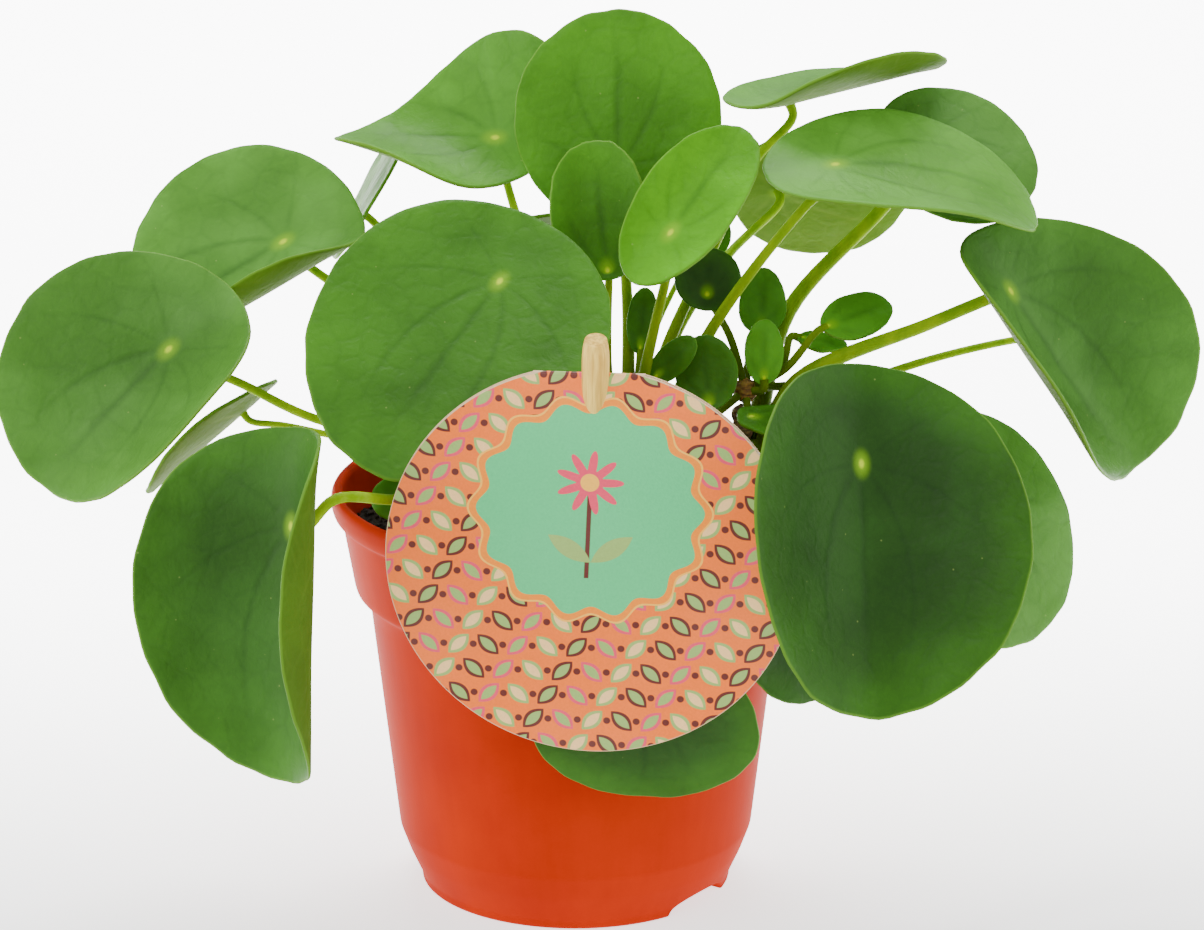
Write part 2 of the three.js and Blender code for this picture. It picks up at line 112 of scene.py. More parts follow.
def separated(tree, vector):
    node = tree.nodes.new("ShaderNodeSeparateXYZ")
    plug(tree, node.inputs[0], vector)
    return [Link(tree, socket) for socket in node.outputs]


class Finish:
    def __init__(self, name, **fixed):
        self.material = bpy.data.materials.new(name)
        self.material.use_nodes = True
        self.tree = self.material.node_tree
        self.shader = self.tree.nodes["Principled BSDF"]
        for key, value in fixed.items():
            self.shader.inputs[key].default_value = value
        self.place = self.node("ShaderNodeTexCoord", output="Object")

    def node(self, kind, settings=None, inputs=None, output=0):
        return makeNode(self.tree, kind, settings, inputs, output)

    def noise(self, scale, detail=2, place=None, distortion=0):
        inputs = {"Vector": place or self.place, "Scale": scale, "Detail": detail, "Distortion": distortion}
        return self.node("ShaderNodeTexNoise", inputs=inputs)

    def attribute(self, name, output="Fac"):
        return self.node("ShaderNodeAttribute", {"attribute_name": name}, output=output)

    def parts(self, vector):
        return separated(self.tree, vector)

    def stretched(self, scale):
        return self.node("ShaderNodeMapping", inputs={"Vector": self.place, "Scale": scale})

    def blend(self, factor, first, second, mode="MIX"):
        colours = [item if isinstance(item, Link) else (*item, 1) for item in (first, second)]
        settings = {"data_type": "RGBA", "blend_type": mode}
        return self.node("ShaderNodeMix", settings, {0: factor, 6: colours[0], 7: colours[1]}, output=2)

    def shade(self, colour, amount):
        grey = self.node("ShaderNodeCombineXYZ", inputs={0: amount, 1: amount, 2: amount})
        return self.blend(1, colour, grey, "MULTIPLY")

    def bump(self, height, strength, distance):
        inputs = {"Height": height, "Strength": strength, "Distance": distance}
        return self.node("ShaderNodeBump", inputs=inputs)

    def give(self, **sockets):
        for key, value in sockets.items():
            plug(self.tree, self.shader.inputs[key.replace("_", " ")], value)
        return self.material


# Meshes and pieces


def inScene(name, data):
    item = bpy.data.objects.new(name, data)
    bpy.context.scene.collection.objects.link(item)
    return item


def newPiece(name, points, faces, material, values=None, sharp=None):
    mesh = bpy.data.meshes.new(name)
    mesh.from_pydata((np.asarray(points) * mm).tolist(), [], faces)
    for key, numbers in (values or {}).items():
        numbers = np.asarray(numbers, np.float32)
        kind = "FLOAT_VECTOR" if numbers.ndim == 2 else "FLOAT"
        field = "vector" if numbers.ndim == 2 else "value"
        mesh.attributes.new(key, kind, "POINT").data.foreach_set(field, numbers.ravel())
    mesh.materials.append(material)
    mesh.shade_smooth()
    if sharp:
        mesh.set_sharp_from_angle(angle=math.radians(sharp))
    return inScene(name, mesh)


def settle(piece, node):
    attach(piece, "root")
    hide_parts(node)


def finished(piece, name):
    # The evaluated shape becomes a plain mesh with no modifier on it
    evaluated = piece.evaluated_get(bpy.context.evaluated_depsgraph_get())
    mesh = bpy.data.meshes.new_from_object(evaluated)
    mesh.name = name
    piece.modifiers.clear()
    return inScene(name, mesh)


def forget(*objects):
    for item in objects:
        bpy.data.objects.remove(item)


def combine(name, objects):
    first = objects[0]
    with bpy.context.temp_override(active_object=first, object=first, selected_editable_objects=objects):
        bpy.ops.object.join()
    first.name = name
    return first


def loopFaces(loops, sides):
    # Faces between rings of points that follow each other, with one point at either end
    faces = [(0, 1 + (k + 1) % sides, 1 + k) for k in range(sides)]
    for ring in range(loops - 1):
        a = 1 + ring * sides
        for k in range(sides):
            after = (k + 1) % sides
            faces.append((a + k, a + after, a + sides + after, a + sides + k))
    a = 1 + (loops - 1) * sides
    last = 1 + loops * sides
    faces.extend((a + k, a + (k + 1) % sides, last) for k in range(sides))
    return faces


def softened(profile, reach, mostOfSide=0.4, shares=(0, 0.33, 0.67, 1)):
    # Each inner corner of an outline becomes a short curve
    points = [np.array(point, float) for point in profile]
    made = [points[0]]
    for before, corner, after in zip(points, points[1:], points[2:]):
        entry = min(reach, mostOfSide * np.linalg.norm(before - corner))
        leave = min(reach, mostOfSide * np.linalg.norm(after - corner))
        start = corner + unit(before - corner) * entry
        end = corner + unit(after - corner) * leave
        for share in shares:
            made.append((1 - share) ** 2 * start + 2 * share * (1 - share) * corner + share**2 * end)
    return made + [points[-1]]


def turnedShape(profile, sides):
    # A closed shape turned round the upright axis, from an outline that starts and ends on it
    around = circleAngles(sides)
    rings = [
        np.stack((radius * np.sin(around), -radius * np.cos(around), np.full(sides, height)), 1)
        for radius, height in profile[1:-1]]
    points = np.concatenate([[(0, 0, profile[0][1])], *rings, [(0, 0, profile[-1][1])]])
    return points, loopFaces(len(rings), sides)


def addTree(piece, tree, **values):
    modifier = piece.modifiers.new(tree.name, "NODES")
    modifier.node_group = tree
    for item in tree.interface.items_tree:
        if item.item_type == "SOCKET" and item.in_out == "INPUT" and item.name in values:
            modifier[item.identifier] = values[item.name]
    piece.update_tag()
    bpy.context.view_layer.update()


def newTree(name, inputs):
    tree = bpy.data.node_groups.new(name, "GeometryNodeTree")
    tree.interface.new_socket("Geometry", in_out="INPUT", socket_type="NodeSocketGeometry")
    tree.interface.new_socket("Geometry", in_out="OUTPUT", socket_type="NodeSocketGeometry")
    for key, kind in inputs.items():
        tree.interface.new_socket(key, in_out="INPUT", socket_type=f"NodeSocket{kind}")
    entry = tree.nodes.new("NodeGroupInput")
    return tree, {socket.name: Link(tree, socket) for socket in entry.outputs if socket.name}


def endTree(tree, shape, material):
    whole = makeNode(tree, "GeometryNodeRealizeInstances", inputs={"Geometry": shape})
    painted = makeNode(tree, "GeometryNodeSetMaterial", inputs={"Geometry": whole, "Material": material})
    plug(tree, tree.nodes.new("NodeGroupOutput").inputs[0], painted)
    return tree


# Leaves: the same blade as the solids' one, on a finer grid

bladeLooks = {
    "large": (22, 96),  # rings and sides
    "small": (10, 48),
    "thickness": 0.9,
    "reach": 0.992,  # stays within the solid's outline
    "lastRing": 0.985,
    "rim": [(0.994, 0.15), (1.0, 0.5), (0.994, 0.85)],  # reach and depth of the loops round the edge
    "ripple": 0.021,  # how far the margin wanders in
    "rippleCounts": (5, 9, 14, 23),
    "rumple": 0.3,
    "rumpleSize": 40,  # the blade size that the waves are drawn for
    "rumpleWaves": ((0.21, 0.13), (-0.16, 0.27), (0.33, -0.2), (0.1, 0.41)),
    "walkSteps": 24,
    "foldReach": 0.15,
}
# spot: where the stalk meets the blade, with share of the length behind it. facing: turn and rise of the
# upper face. tip: roll of the tip. egg and slant shape the outline; cup, bend, fold and twist bend the blade.
# stalk: its thickness, from a height on the stem or a seat on its head, by way of the via points.
# age: 0 is a young bright leaf, 1 an old dark one. The sheen value: how much painted sheen, a pale grey-green
# standing in for the reflection of the studio's light, lies over its upper face.
leafDefaults = dict(
    share=0.3, egg=0, slant=0, bend=(0, 0), cup=(0, 0), fold=0, twist=0, stalk=1.3, via=[], bloom=0.35)
stems = {
    "main": dict(foot=(10, 6, 60), head=(13, 5, 112), radius=5, headRadius=4.6),
    "side": dict(foot=(38, 10, 60), head=(41.5, 12, 119), radius=3.6, headRadius=2.8),
}
bigLeaves = {
    "far_left": dict(
        spot=(-98, -12, 140), facing=(-5, 35), tip=-40, size=(67.5, 67), share=0.32, bend=(5, -15),
        cup=(42, -10), fold=25, stalk=1.3, stem="main", height=103, age=0.63, bloom=0.85,
        via=[(-25, 4, 108), (-64, 0, 119), (-82, -6, 130)]),
    "upper_left": dict(
        spot=(-72.5, 27.5, 156.5), facing=(-20, 42), tip=-50, size=(62.5, 70), share=0.34, cup=(105, 0),
        stem="main", height=107, age=0.5, bloom=0.85, via=[(-35, 18, 132), (-61, 25, 147)]),
    "low_left": dict(
        spot=(-65.5, -70, 114), facing=(-45, 15), tip=11, size=(84, 77), share=0.28, egg=-0.05,
        slant=0.03, bend=(5, 10), cup=(60, 45), fold=20, stalk=1.5, stem="main", height=99, age=0.86,
        bloom=0.25, via=[(-20, -26, 105), (-43, -50, 114), (-56, -63, 118)]),
    "centre_left": dict(
        spot=(-18, -12, 157), facing=(0, 50), tip=-31, size=(84, 72.5), share=0.25, egg=-0.08, slant=0.02,
        fold=5, stalk=1.7, stem="main", height=109, age=0.74, bloom=0.1, via=[(-6, 0, 130)]),
    "top_left": dict(
        spot=(-20, 40, 180), facing=(-10, 42), tip=-90, size=(54, 49), share=0.3, egg=-0.2, slant=0.22,
        cup=(55, 35), twist=58, stalk=1.2, stem="main", seat=165, age=0.33, bloom=0.65,
        via=[(0, 19, 135), (-14, 33, 160)]),
    "top": dict(
        spot=(10.5, 22, 177), facing=(0, 20), tip=180, size=(55, 52), share=0.28, stem="main", seat=92,
        age=0.55, bloom=0.1, via=[(13, 18, 140)]),
    "young_left": dict(
        spot=(8, 4, 155), facing=(-5, 15), tip=-172, size=(35, 26), share=0.06, cup=(40, 50), stalk=1,
        stem="main", seat=236, age=0.62, bloom=0.1, via=[(8, 2, 130)]),
    "young_right": dict(
        spot=(23, -8, 168), facing=(-15, 45), tip=157, size=(50, 26), share=0.32, cup=(50, 20), stalk=1.2,
        stem="main", seat=308, age=0.22, bloom=0, via=[(17, -1, 131)]),
    "top_right": dict(
        spot=(53, 38, 190), facing=(-119, 76), tip=-150, size=(58, 50), share=0.29, bend=(-4, -32),
        cup=(26, 26), twist=-24, stem="main", seat=20, age=0.35, bloom=0.85,
        via=[(23, 14, 134), (35, 26, 157), (44.5, 32, 176)]),
    "right_back": dict(
        spot=(88, 36, 181), facing=(10, 45), tip=48, size=(44, 38), share=0.32, stalk=1.9, stem="side",
        height=111, age=0.64, bloom=0.9, via=[(53, 26, 139), (77, 34, 164)]),
    "right_upper": dict(
        spot=(63, 4, 182), facing=(-3, 66), tip=98, size=(74, 47), share=0.24, bend=(43, 0), cup=(0, 25),
        stalk=1.4, stem="main", height=109, age=0.28, bloom=1, via=[(34, 12, 139), (56, 9, 170)]),
    "back_under": dict(
        spot=(51.5, 58, 162), facing=(180, 35), tip=-90, size=(46, 50), share=0.27, stem="main",
        height=107, age=0.15, via=[(24, 22, 132), (38, 38, 150)]),
    "far_right": dict(
        spot=(107, 12, 148), facing=(48, 25), tip=23, size=(76, 74), share=0.24, slant=0.1,
        cup=(25, 25), fold=28, stalk=1.8, stem="side", height=108, age=0.72, bloom=0.55,
        via=[(55, 12, 125), (87, 14, 139)]),
    "right_front": dict(
        spot=(67, -60, 126), facing=(25, 25), tip=-10, size=(85, 81), share=0.285, cup=(20, 20), fold=20,
        stalk=1.7, stem="side", height=104, age=0.95, bloom=0.05, via=[(47, -28, 116), (57, -45, 120)]),
    "right_low_back": dict(
        spot=(98, 5, 96), facing=(35, 25), tip=10, size=(62, 56), share=0.38, stalk=1.4, stem="side",
        height=101, age=0.6, bloom=0.9, via=[(62, 9, 108), (84, 7, 103)]),
    "low_right": dict(
        spot=(57, -37, 88), facing=(35, 5), tip=-10, size=(42, 40), stalk=1.1, stem="side", height=95,
        age=1, bloom=0, via=[(49, -8, 103), (55, -30, 102)]),
    "front": dict(
        spot=(16.5, -56.6, 68), facing=(0, -4), tip=0, size=(48, 53), share=0.42, egg=0.3, slant=0.04,
        stalk=1, stem="side", height=101, age=0.94, bloom=0.15,
        via=[(38, -20, 108), (40, -44, 106), (36, -51, 88)]),
    "edge_left": dict(
        spot=(-83.5, 22, 114.5), facing=(-110, 46), tip=22, size=(44, 42), share=0.27, cup=(20, 20), stalk=1,
        stem="main", height=98, age=0.85, bloom=0.6, via=[(-30, 14, 103), (-72, 20, 111)]),
    "left_back": dict(
        spot=(-56, 60, 156), facing=(-88, 30), tip=180, size=(42, 42), share=0.32, stalk=1.2,
        stem="main", height=105, age=0.6, bloom=0.8, via=[(-26, 30, 130)]),
    "hidden_right": dict(
        spot=(130, 50, 128), facing=(60, 50), tip=0, size=(42, 40), stalk=1.1, stem="side", height=104,
        age=0.7, via=[(60, 18, 117), (82, 24, 125), (112, 36, 129)]),
    "back_dark": dict(
        spot=(-10, 52, 154), facing=(-170, 60), tip=0, size=(38, 36), share=0.32, stalk=1.1, stem="main",
        height=110, age=0.9, via=[(3, 26, 130)]),
}
smallLeaves = {
    "inner_back": dict(
        spot=(29.5, 44, 150.5), facing=(-5, 25), tip=-175, size=(18, 20), stalk=0.8, stem="main", height=104,
        age=0.7, via=[(18, 30, 128)]),
    "inner_low": dict(
        spot=(19.5, 3, 128.5), facing=(-10, 5), tip=137, size=(16, 8), share=0.1, stalk=0.7, stem="main",
        height=107, age=0.7, via=[(20, 2, 118)]),
    "inner_centre": dict(
        spot=(16, 12.5, 133), facing=(0, 10), tip=175, size=(17, 8), share=0.08, stalk=0.7, stem="main",
        height=110, age=0.7, via=[(15, 12.5, 121)]),
    "rim_left": dict(
        spot=(-42, -26, 107), facing=(0, 30), tip=-80, size=(12, 11), share=0.4, stalk=0.7, stem="main",
        height=96, age=0.7, via=[(-20, -15, 99)]),
}
shootKnob = {"centre": (42, 12, 122.6), "radius": 3.2, "sides": 28, "inset": 0.06, "stalk": 0.8}
shootLeaves = [
    dict(
        spot=(62, 14, 138.5), facing=(10, 50), tip=110, size=(20, 13), share=0.06, age=0.45,
        via=[(52, 13, 128)]),
    dict(spot=(46.5, 8, 126.5), facing=(10, 10), tip=178, size=(16.5, 10), share=0.08, age=0.35),
    dict(
        spot=(46, 20, 136), facing=(5, 10), tip=175, size=(17, 12), share=0.08, egg=-0.2, age=0.5,
        via=[(43, 16, 129)]),
    dict(
        spot=(56, 20.5, 134), facing=(20, 70), tip=62, size=(13, 8), share=0.08, age=0.5,
        via=[(51, 15, 128)]),
    dict(
        spot=(32.5, 15.5, 146), facing=(5, 15), tip=175, size=(16, 17), share=0.25, age=0.95,
        via=[(38, 15, 136)]),
    dict(spot=(33, 4, 121), facing=(-10, 12), tip=-172, size=(19, 16), share=0.06, age=0.7),
    dict(spot=(52, 17.3, 122.5), facing=(0, 80), tip=90, size=(12, 6.5), share=0.1, age=0.6),
    dict(spot=(43, 2, 119), facing=(10, 72), tip=80, size=(17, 13), share=0.2, cup=(-15, -15), age=0.6),
]


def bladeAxes(leaf):
    side, up = (math.radians(angle) for angle in leaf["facing"])
    roll = math.radians(leaf["tip"])
    out = np.array((math.cos(up) * math.sin(side), -math.cos(up) * math.cos(side), math.sin(up)))
    rise = np.array((-math.sin(up) * math.sin(side), math.sin(up) * math.cos(side), math.cos(up)))
    right = np.array((math.cos(side), math.sin(side), 0))
    tip = -math.cos(roll) * rise + math.sin(roll) * right
    return out, tip, np.cross(out, tip)


def walk(lengths, span, turn, crease=0.0):
    # Walks out along a bending line: how far it gets, how high it rises, and its slope at the end
    steps = bladeLooks["walkSteps"]

    def slopeAt(shares, turns):
        return turns * shares + crease * (1 - np.exp(-shares / bladeLooks["foldReach"]))

    shares = (lengths / span)[..., None] * (np.arange(steps) + 0.5) / steps
    slopes = slopeAt(shares, turn[..., None])
    return (
        np.cos(slopes).sum(-1) * lengths / steps,
        np.sin(slopes).sum(-1) * lengths / steps,
        slopeAt(lengths / span, turn),
    )


def flatPlace(leaf, reach, around):
    length, width = leaf["size"]
    lean = 1 + leaf["slant"] * np.sin(2 * around)
    along = reach * (length * (0.5 - leaf["share"]) + length / 2 * np.cos(around) * lean)
    across = reach * width / 2 * np.sin(around) * (1 + leaf["egg"] * np.cos(around)) * lean
    return along, across


def bladePoints(leaf, axes, reach, around):
    length, width = leaf["size"]
    along, across = flatPlace(leaf, reach, around)
    cup = np.radians(np.where(across > 0, leaf["cup"][0], leaf["cup"][1]))
    sideLine = walk(np.abs(across), np.full_like(across, width / 2), cup, math.radians(leaf["fold"]))
    bend = np.radians(np.where(along > 0, leaf["bend"][0], leaf["bend"][1]))
    reachAhead = np.where(along > 0, length * (1 - leaf["share"]), length * leaf["share"])
    midLine = walk(np.abs(along), reachAhead, bend)
    sideways = np.sign(across) * sideLine[0]
    outwards = sideLine[1] * np.cos(midLine[2]) - midLine[1]
    towardsTip = np.sign(along) * (midLine[0] + sideLine[1] * np.sin(midLine[2]))
    twist = math.radians(leaf["twist"]) * along / length
    turnedSide = sideways * np.cos(twist) - outwards * np.sin(twist)
    outwards = sideways * np.sin(twist) + outwards * np.cos(twist)
    out, tip, left = axes
    steps = towardsTip[..., None] * tip + turnedSide[..., None] * left + outwards[..., None] * out
    return np.array(leaf["spot"]) + steps


def bladePiece(name, leaf, material, rings, sides):
    axes = bladeAxes(leaf)
    draw = np.random.default_rng(sum(map(ord, name)))
    around = circleAngles(sides)
    reaches = np.linspace(0, bladeLooks["lastRing"], rings + 1)[1:]
    loops = [(reach, 0) for reach in reaches] + bladeLooks["rim"] + [(reach, 1) for reach in reaches[::-1]]
    reach = np.array([loop[0] for loop in loops])[:, None] + 0 * around
    depth = np.array([loop[1] for loop in loops])[:, None] + 0 * around
    turn = 0 * reach + around
    phases = draw.uniform(0, 2 * np.pi, 8)
    counts = bladeLooks["rippleCounts"]
    wander = 0.5 + sum(np.sin(count * turn + phase) for count, phase in zip(counts, phases)) / 8
    full = reach * (bladeLooks["reach"] - bladeLooks["ripple"] * wander * reach**6)
    step = 0.02
    points = bladePoints(leaf, axes, full, turn)
    outStep = bladePoints(leaf, axes, full + step, turn) - bladePoints(leaf, axes, full - step, turn)
    onStep = bladePoints(leaf, axes, full, turn + step) - bladePoints(leaf, axes, full, turn - step)
    normals = np.cross(outStep, onStep)
    normals /= np.linalg.norm(normals, axis=-1, keepdims=True)
    along, across = flatPlace(leaf, full, turn)
    scale = bladeLooks["rumpleSize"] / max(leaf["size"])
    waves = bladeLooks["rumpleWaves"]
    lumps = sum(np.sin(scale * (a * along + b * across) + p) for (a, b), p in zip(waves, phases[4:])) / 2.2
    height = bladeLooks["rumple"] * lumps * np.minimum(reach * 1.4, 1) - bladeLooks["thickness"] * depth
    points = points + normals * height[..., None]
    spot = np.array(leaf["spot"], float)
    points = np.concatenate([[spot], points.reshape(-1, 3), [spot - axes[0] * bladeLooks["thickness"]]])
    flat = np.stack([along, across, reach], -1).reshape(-1, 3)
    values = {
        "blade": np.concatenate([[(0, 0, 0)], flat, [(0, 0, 0)]]),
        "under": np.concatenate([[0], depth.ravel(), [1]]),
        "age": np.full(len(points), leaf["age"]),
        "bloom": np.full(len(points), leaf["bloom"]),
    }
    faces = [face[::-1] for face in loopFaces(len(loops), sides)]
    return newPiece(name, points, faces, material, values)


# Stalks: a path with a thickness at each point, swept by a node tree

stalkLooks = {
    "large": (9, 12),  # rings on each span of the path, and sides
    "small": (6, 10),
    "baseReach": 36,  # how far from the stem a stalk is stouter and darker
    "baseFlare": 0.42,
    "spotFlare": 0.35,
    "flareReach": 1.2,
    "plain": 0.92,
    "taper": 0.08,
    "narrowShare": 0.15,  # a young leaf with less of its blade behind the spot goes on from its stalk's end
}


def stalkStart(leaf, towards):
    if "stem" not in leaf:
        centre = np.array(shootKnob["centre"], float)
        return centre, centre
    stem = stems[leaf["stem"]]
    foot, head = np.array(stem["foot"], float), np.array(stem["head"], float)
    if "seat" in leaf:
        ring = stem["headRadius"] - leaf["stalk"] - 0.2
        turn = math.radians(leaf["seat"])
        seat = head + ring * np.array((math.cos(turn), math.sin(turn), 0))
        return seat - (0, 0, 1.5), seat + (0, 0, 0.8)
    start = foot + (head - foot) * (leaf["height"] - foot[2]) / (head[2] - foot[2])
    outwards = unit((towards - start) * (1, 1, 0))
    rise = unit(towards - start)[2]
    return start, start + outwards * (stem["radius"] + 0.3 + leaf["stalk"] * abs(rise))


def smoothPath(points, perSpan):
    # A centripetal curve through the points
    points = [np.array(point, float) for point in points]
    points = [2 * points[0] - points[1]] + points + [2 * points[-1] - points[-2]]
    made = []
    for a, b, c, d in zip(points, points[1:], points[2:], points[3:]):
        before, span, after = (math.sqrt(np.linalg.norm(q - p)) for p, q in ((a, b), (b, c), (c, d)))
        leave = ((b - a) / before - (c - a) / (before + span) + (c - b) / span) * span
        arrive = ((c - b) / span - (d - b) / (span + after) + (d - c) / after) * span
        for step in range(perSpan):
            t = step / perSpan
            square = (3 * (c - b) - 2 * leave - arrive) * t * t
            made.append(b + leave * t + square + (2 * (b - c) + leave + arrive) * t**3)
    return np.array(made + [points[-2]])


def stalkTree():
    tree, given = newTree("sweptStalk", {"Sides": "Int", "Material": "Material"})
    thick = makeNode(tree, "GeometryNodeInputNamedAttribute", {"data_type": "FLOAT"}, {"Name": "thick"})
    line = makeNode(tree, "GeometryNodeMeshToCurve", inputs={"Mesh": given["Geometry"]})
    inputs = {"Resolution": given["Sides"], "Radius": mm}
    ring = makeNode(tree, "GeometryNodeCurvePrimitiveCircle", inputs=inputs)
    inputs = {"Curve": line, "Profile Curve": ring, "Scale": thick, "Fill Caps": True}
    return endTree(tree, makeNode(tree, "GeometryNodeCurveToMesh", inputs=inputs), given["Material"])


def stalkPiece(name, leaf, tree, material, perSpan, sides):
    looks = stalkLooks
    out, tip, _ = bladeAxes(leaf)
    small = name not in bigLeaves
    arrival = tip if small and leaf["share"] < looks["narrowShare"] else out
    end = np.array(leaf["spot"], float) - 0.55 * bladeLooks["thickness"] * out
    approach = end - 3 * leaf["stalk"] * arrival
    via = [np.array(point, float) for point in leaf["via"]]
    root, start = stalkStart(leaf, via[0] if via else approach)
    path = smoothPath([start, *via, approach, end], perSpan)
    if not np.allclose(root, start):
        path = np.concatenate([[root + (start - root) * 0.4], path])
    travelled = np.concatenate([[0], np.cumsum(np.linalg.norm(np.diff(path, axis=0), axis=1))])
    share = travelled / travelled[-1]
    left = travelled[-1] - travelled
    base = np.exp(-((travelled / looks["baseReach"]) ** 2))
    flare = looks["spotFlare"] * np.exp(-left / looks["flareReach"])
    thick = leaf["stalk"] * (looks["plain"] + looks["baseFlare"] * base + flare - looks["taper"] * share)
    line = bpy.data.meshes.new(f"path_{name}")
    line.from_pydata((path * mm).tolist(), [(i, i + 1) for i in range(len(path) - 1)], [])
    for key, numbers in (("thick", thick), ("base", base)):
        line.attributes.new(key, "FLOAT", "POINT").data.foreach_set("value", numbers.astype(np.float32))
    holder = inScene(f"path_{name}", line)
    addTree(holder, tree, Sides=sides, Material=material)
    made = finished(holder, f"stalk_{name}")
    made.data.shade_smooth()
    forget(holder)
    return made


# Finishes

leafColours = {
    "young": (0.09, 0.35, 0.002),
    "old": (0.011, 0.042, 0.005),
    "underYoung": (0.085, 0.19, 0.004),
    "underOld": (0.05, 0.115, 0.005),
    "vein": (0.004, 0.02, 0.003),
    "underVein": (0.16, 0.27, 0.03),
    # painted sheen: the grey-green that stands in for reflected studio light on the upper face
    "bloom": (0.16, 0.29, 0.11),
    "halo": (0.2, 0.42, 0.001),
    "core": (0.5, 0.66, 0.002),
    "margin": (0.12, 0.27, 0.02),
    "speck": (0.3, 0.4, 0.1),
}
# Each vein: the angle at which it leaves the spot, its lean to the tip, its width and its depth of colour
leafVeins = [(0, 0, 1.5, 1), (0.72, 0.011, 1.3, 0.8), (1.45, 0.012, 1.1, 0.6), (2.3, 0.008, 1.0, 0.5)]
# The scales and reaches of a leaf's marks, and then how strongly each shows
leafMarks = {
    "gloss": 0.12,
    "cloud": 38,
    "patches": 110,
    "wrinkles": 300,
    "grain": 900,
    "veinWaver": 1.2,
    "veinEnds": (0.45, 0.95),
    "netScale": 0.14,
    "speckScale": 0.19,
    "haloReach": 3.0,
    "coreReach": 1.0,
    "marginFrom": 0.984,
    "marginTo": 0.997,
    # how strongly the painted sheen shows
    "bloom": 0.16,
    "veins": 0.28,
    "net": 0.07,
    "specks": 0.3,
    "halo": 0.72,
    "core": 0.9,
    "margin": 0.6,
    "roughness": 0.42,
}


def leafFinish():
    marks, colours = leafMarks, leafColours
    finish = Finish("leafSkin", **{"Specular IOR Level": marks["gloss"]})
    blade = finish.attribute("blade", "Vector")
    along, across, reach = finish.parts(blade)
    under = finish.attribute("under").rise(0.3, 0.7)
    age = finish.attribute("age")
    side = across.size()
    distance = (along * along + across * across).root()
    angle = side.angle(along)
    cloud = finish.noise(marks["cloud"], 2).rise(0.32, 0.68)
    patches = finish.noise(marks["patches"], 3)
    wrinkles = finish.noise(marks["wrinkles"], 3, distortion=0.8)
    grain = finish.noise(marks["grain"], 2)

    # Soft veins leave the spot and lean towards the tip, and fade before the margin
    veins = None
    for start, lean, width, depth in leafVeins:
        offset = (angle - start + distance * lean).size() * distance + (patches - 0.5) * marks["veinWaver"]
        line = (1 - offset.size() / width).most(0) * depth
        veins = line if veins is None else veins.most(line)
    veins = veins * (1 - reach.rise(*marks["veinEnds"])) * distance.rise(1.5, 6)
    cells = {"Vector": blade, "Scale": marks["netScale"], "Randomness": 0.9}
    net = finish.node("ShaderNodeTexVoronoi", {"feature": "DISTANCE_TO_EDGE"}, cells)
    net = (1 - net.rise(0, 0.14)) * distance.rise(4, 12)
    cells = {"Vector": blade, "Scale": marks["speckScale"], "Randomness": 1}
    specks = 1 - finish.node("ShaderNodeTexVoronoi", inputs=cells).rise(0.03, 0.055)

    upper = finish.blend(age, colours["young"], colours["old"])
    upper = finish.blend(reach.rise(0.5, 1.0) * 0.16, upper, colours["young"])
    # Painted sheen: a pale grey-green laid over the upper face in clouds, standing in for the reflection of
    # the studio's light
    bloom = finish.attribute("bloom") * (marks["bloom"] + cloud * marks["bloom"])
    upper = finish.shade(upper, 0.5 + cloud * 0.4 + patches * 0.26 + wrinkles * 0.12 + grain * 0.22)
    upper = finish.blend(bloom, upper, colours["bloom"])
    upper = finish.blend(veins * marks["veins"] + net * marks["net"], upper, colours["vein"])
    upper = finish.blend(specks * marks["specks"], upper, colours["speck"])
    lower = finish.blend(age, colours["underYoung"], colours["underOld"])
    lower = finish.shade(lower, 0.72 + cloud * 0.18 + patches * 0.22 + grain * 0.16)
    lower = finish.blend(veins * 0.4 + net * 0.05, lower, colours["underVein"])
    skin = finish.blend(under, upper, lower)
    oval = (along * along * 0.4 + across * across).root()
    halo = (1 - oval.rise(0.2, marks["haloReach"])) * (1 - reach.rise(0.1, 0.35))
    core = (1 - oval.rise(0.25, marks["coreReach"])) * (1 - reach.rise(0.03, 0.12))
    margin = reach.rise(marks["marginFrom"], marks["marginTo"])
    skin = finish.blend(halo * marks["halo"], skin, colours["halo"])
    skin = finish.blend(core * marks["core"], skin, colours["core"])
    skin = finish.blend(margin * marks["margin"], skin, colours["margin"])

    relief = grain * 0.25 + wrinkles * 0.7 + patches * 1.3 - veins * 0.3 - net * 0.15
    rough = marks["roughness"] + patches * 0.14 + under * 0.28
    return finish.give(Base_Color=skin, Roughness=rough, Normal=finish.bump(relief, 0.5, 0.0006))


# Two colours that a finish wanders between, its specular level, and the strength and the depth of its
# relief, in metres
plainLooks = {
    "stalkSkin": ((0.18, 0.34, 0.001), (0.28, 0.44, 0.004), 0.06, 0.3, 0.0003),
    "bark": ((0.05, 0.03, 0.015), (0.2, 0.12, 0.05), 0.3, 0.8, 0.0006),
    "shootKnob": ((0.09, 0.035, 0.012), (0.26, 0.14, 0.03), 0.3, 0.8, 0.0006),
    "terracottaPlastic": ((0.36, 0.016, 0.0005), (0.43, 0.022, 0.0005), 0.025, 0.16, 0.0004),
    "peatSoil": ((0.008, 0.005, 0.004), (0.035, 0.02, 0.012), 0.25, 1, 0.0012),
    "paleWood": ((0.92, 0.63, 0.14), (0.62, 0.35, 0.06), 0.15, 0.5, 0.0004),
}
stalkFoot = (0.035, 0.06, 0.001)
soilGrit = (0.09, 0.055, 0.03)


def plainFinish(name, paint):
    # paint gets the finish and its two colours, and gives the colour, the roughness and the relief
    first, second, gloss, strength, depth = plainLooks[name]
    finish = Finish(name, **{"Specular IOR Level": gloss})
    colour, rough, relief = paint(finish, first, second)
    return finish.give(Base_Color=colour, Roughness=rough, Normal=finish.bump(relief, strength, depth))


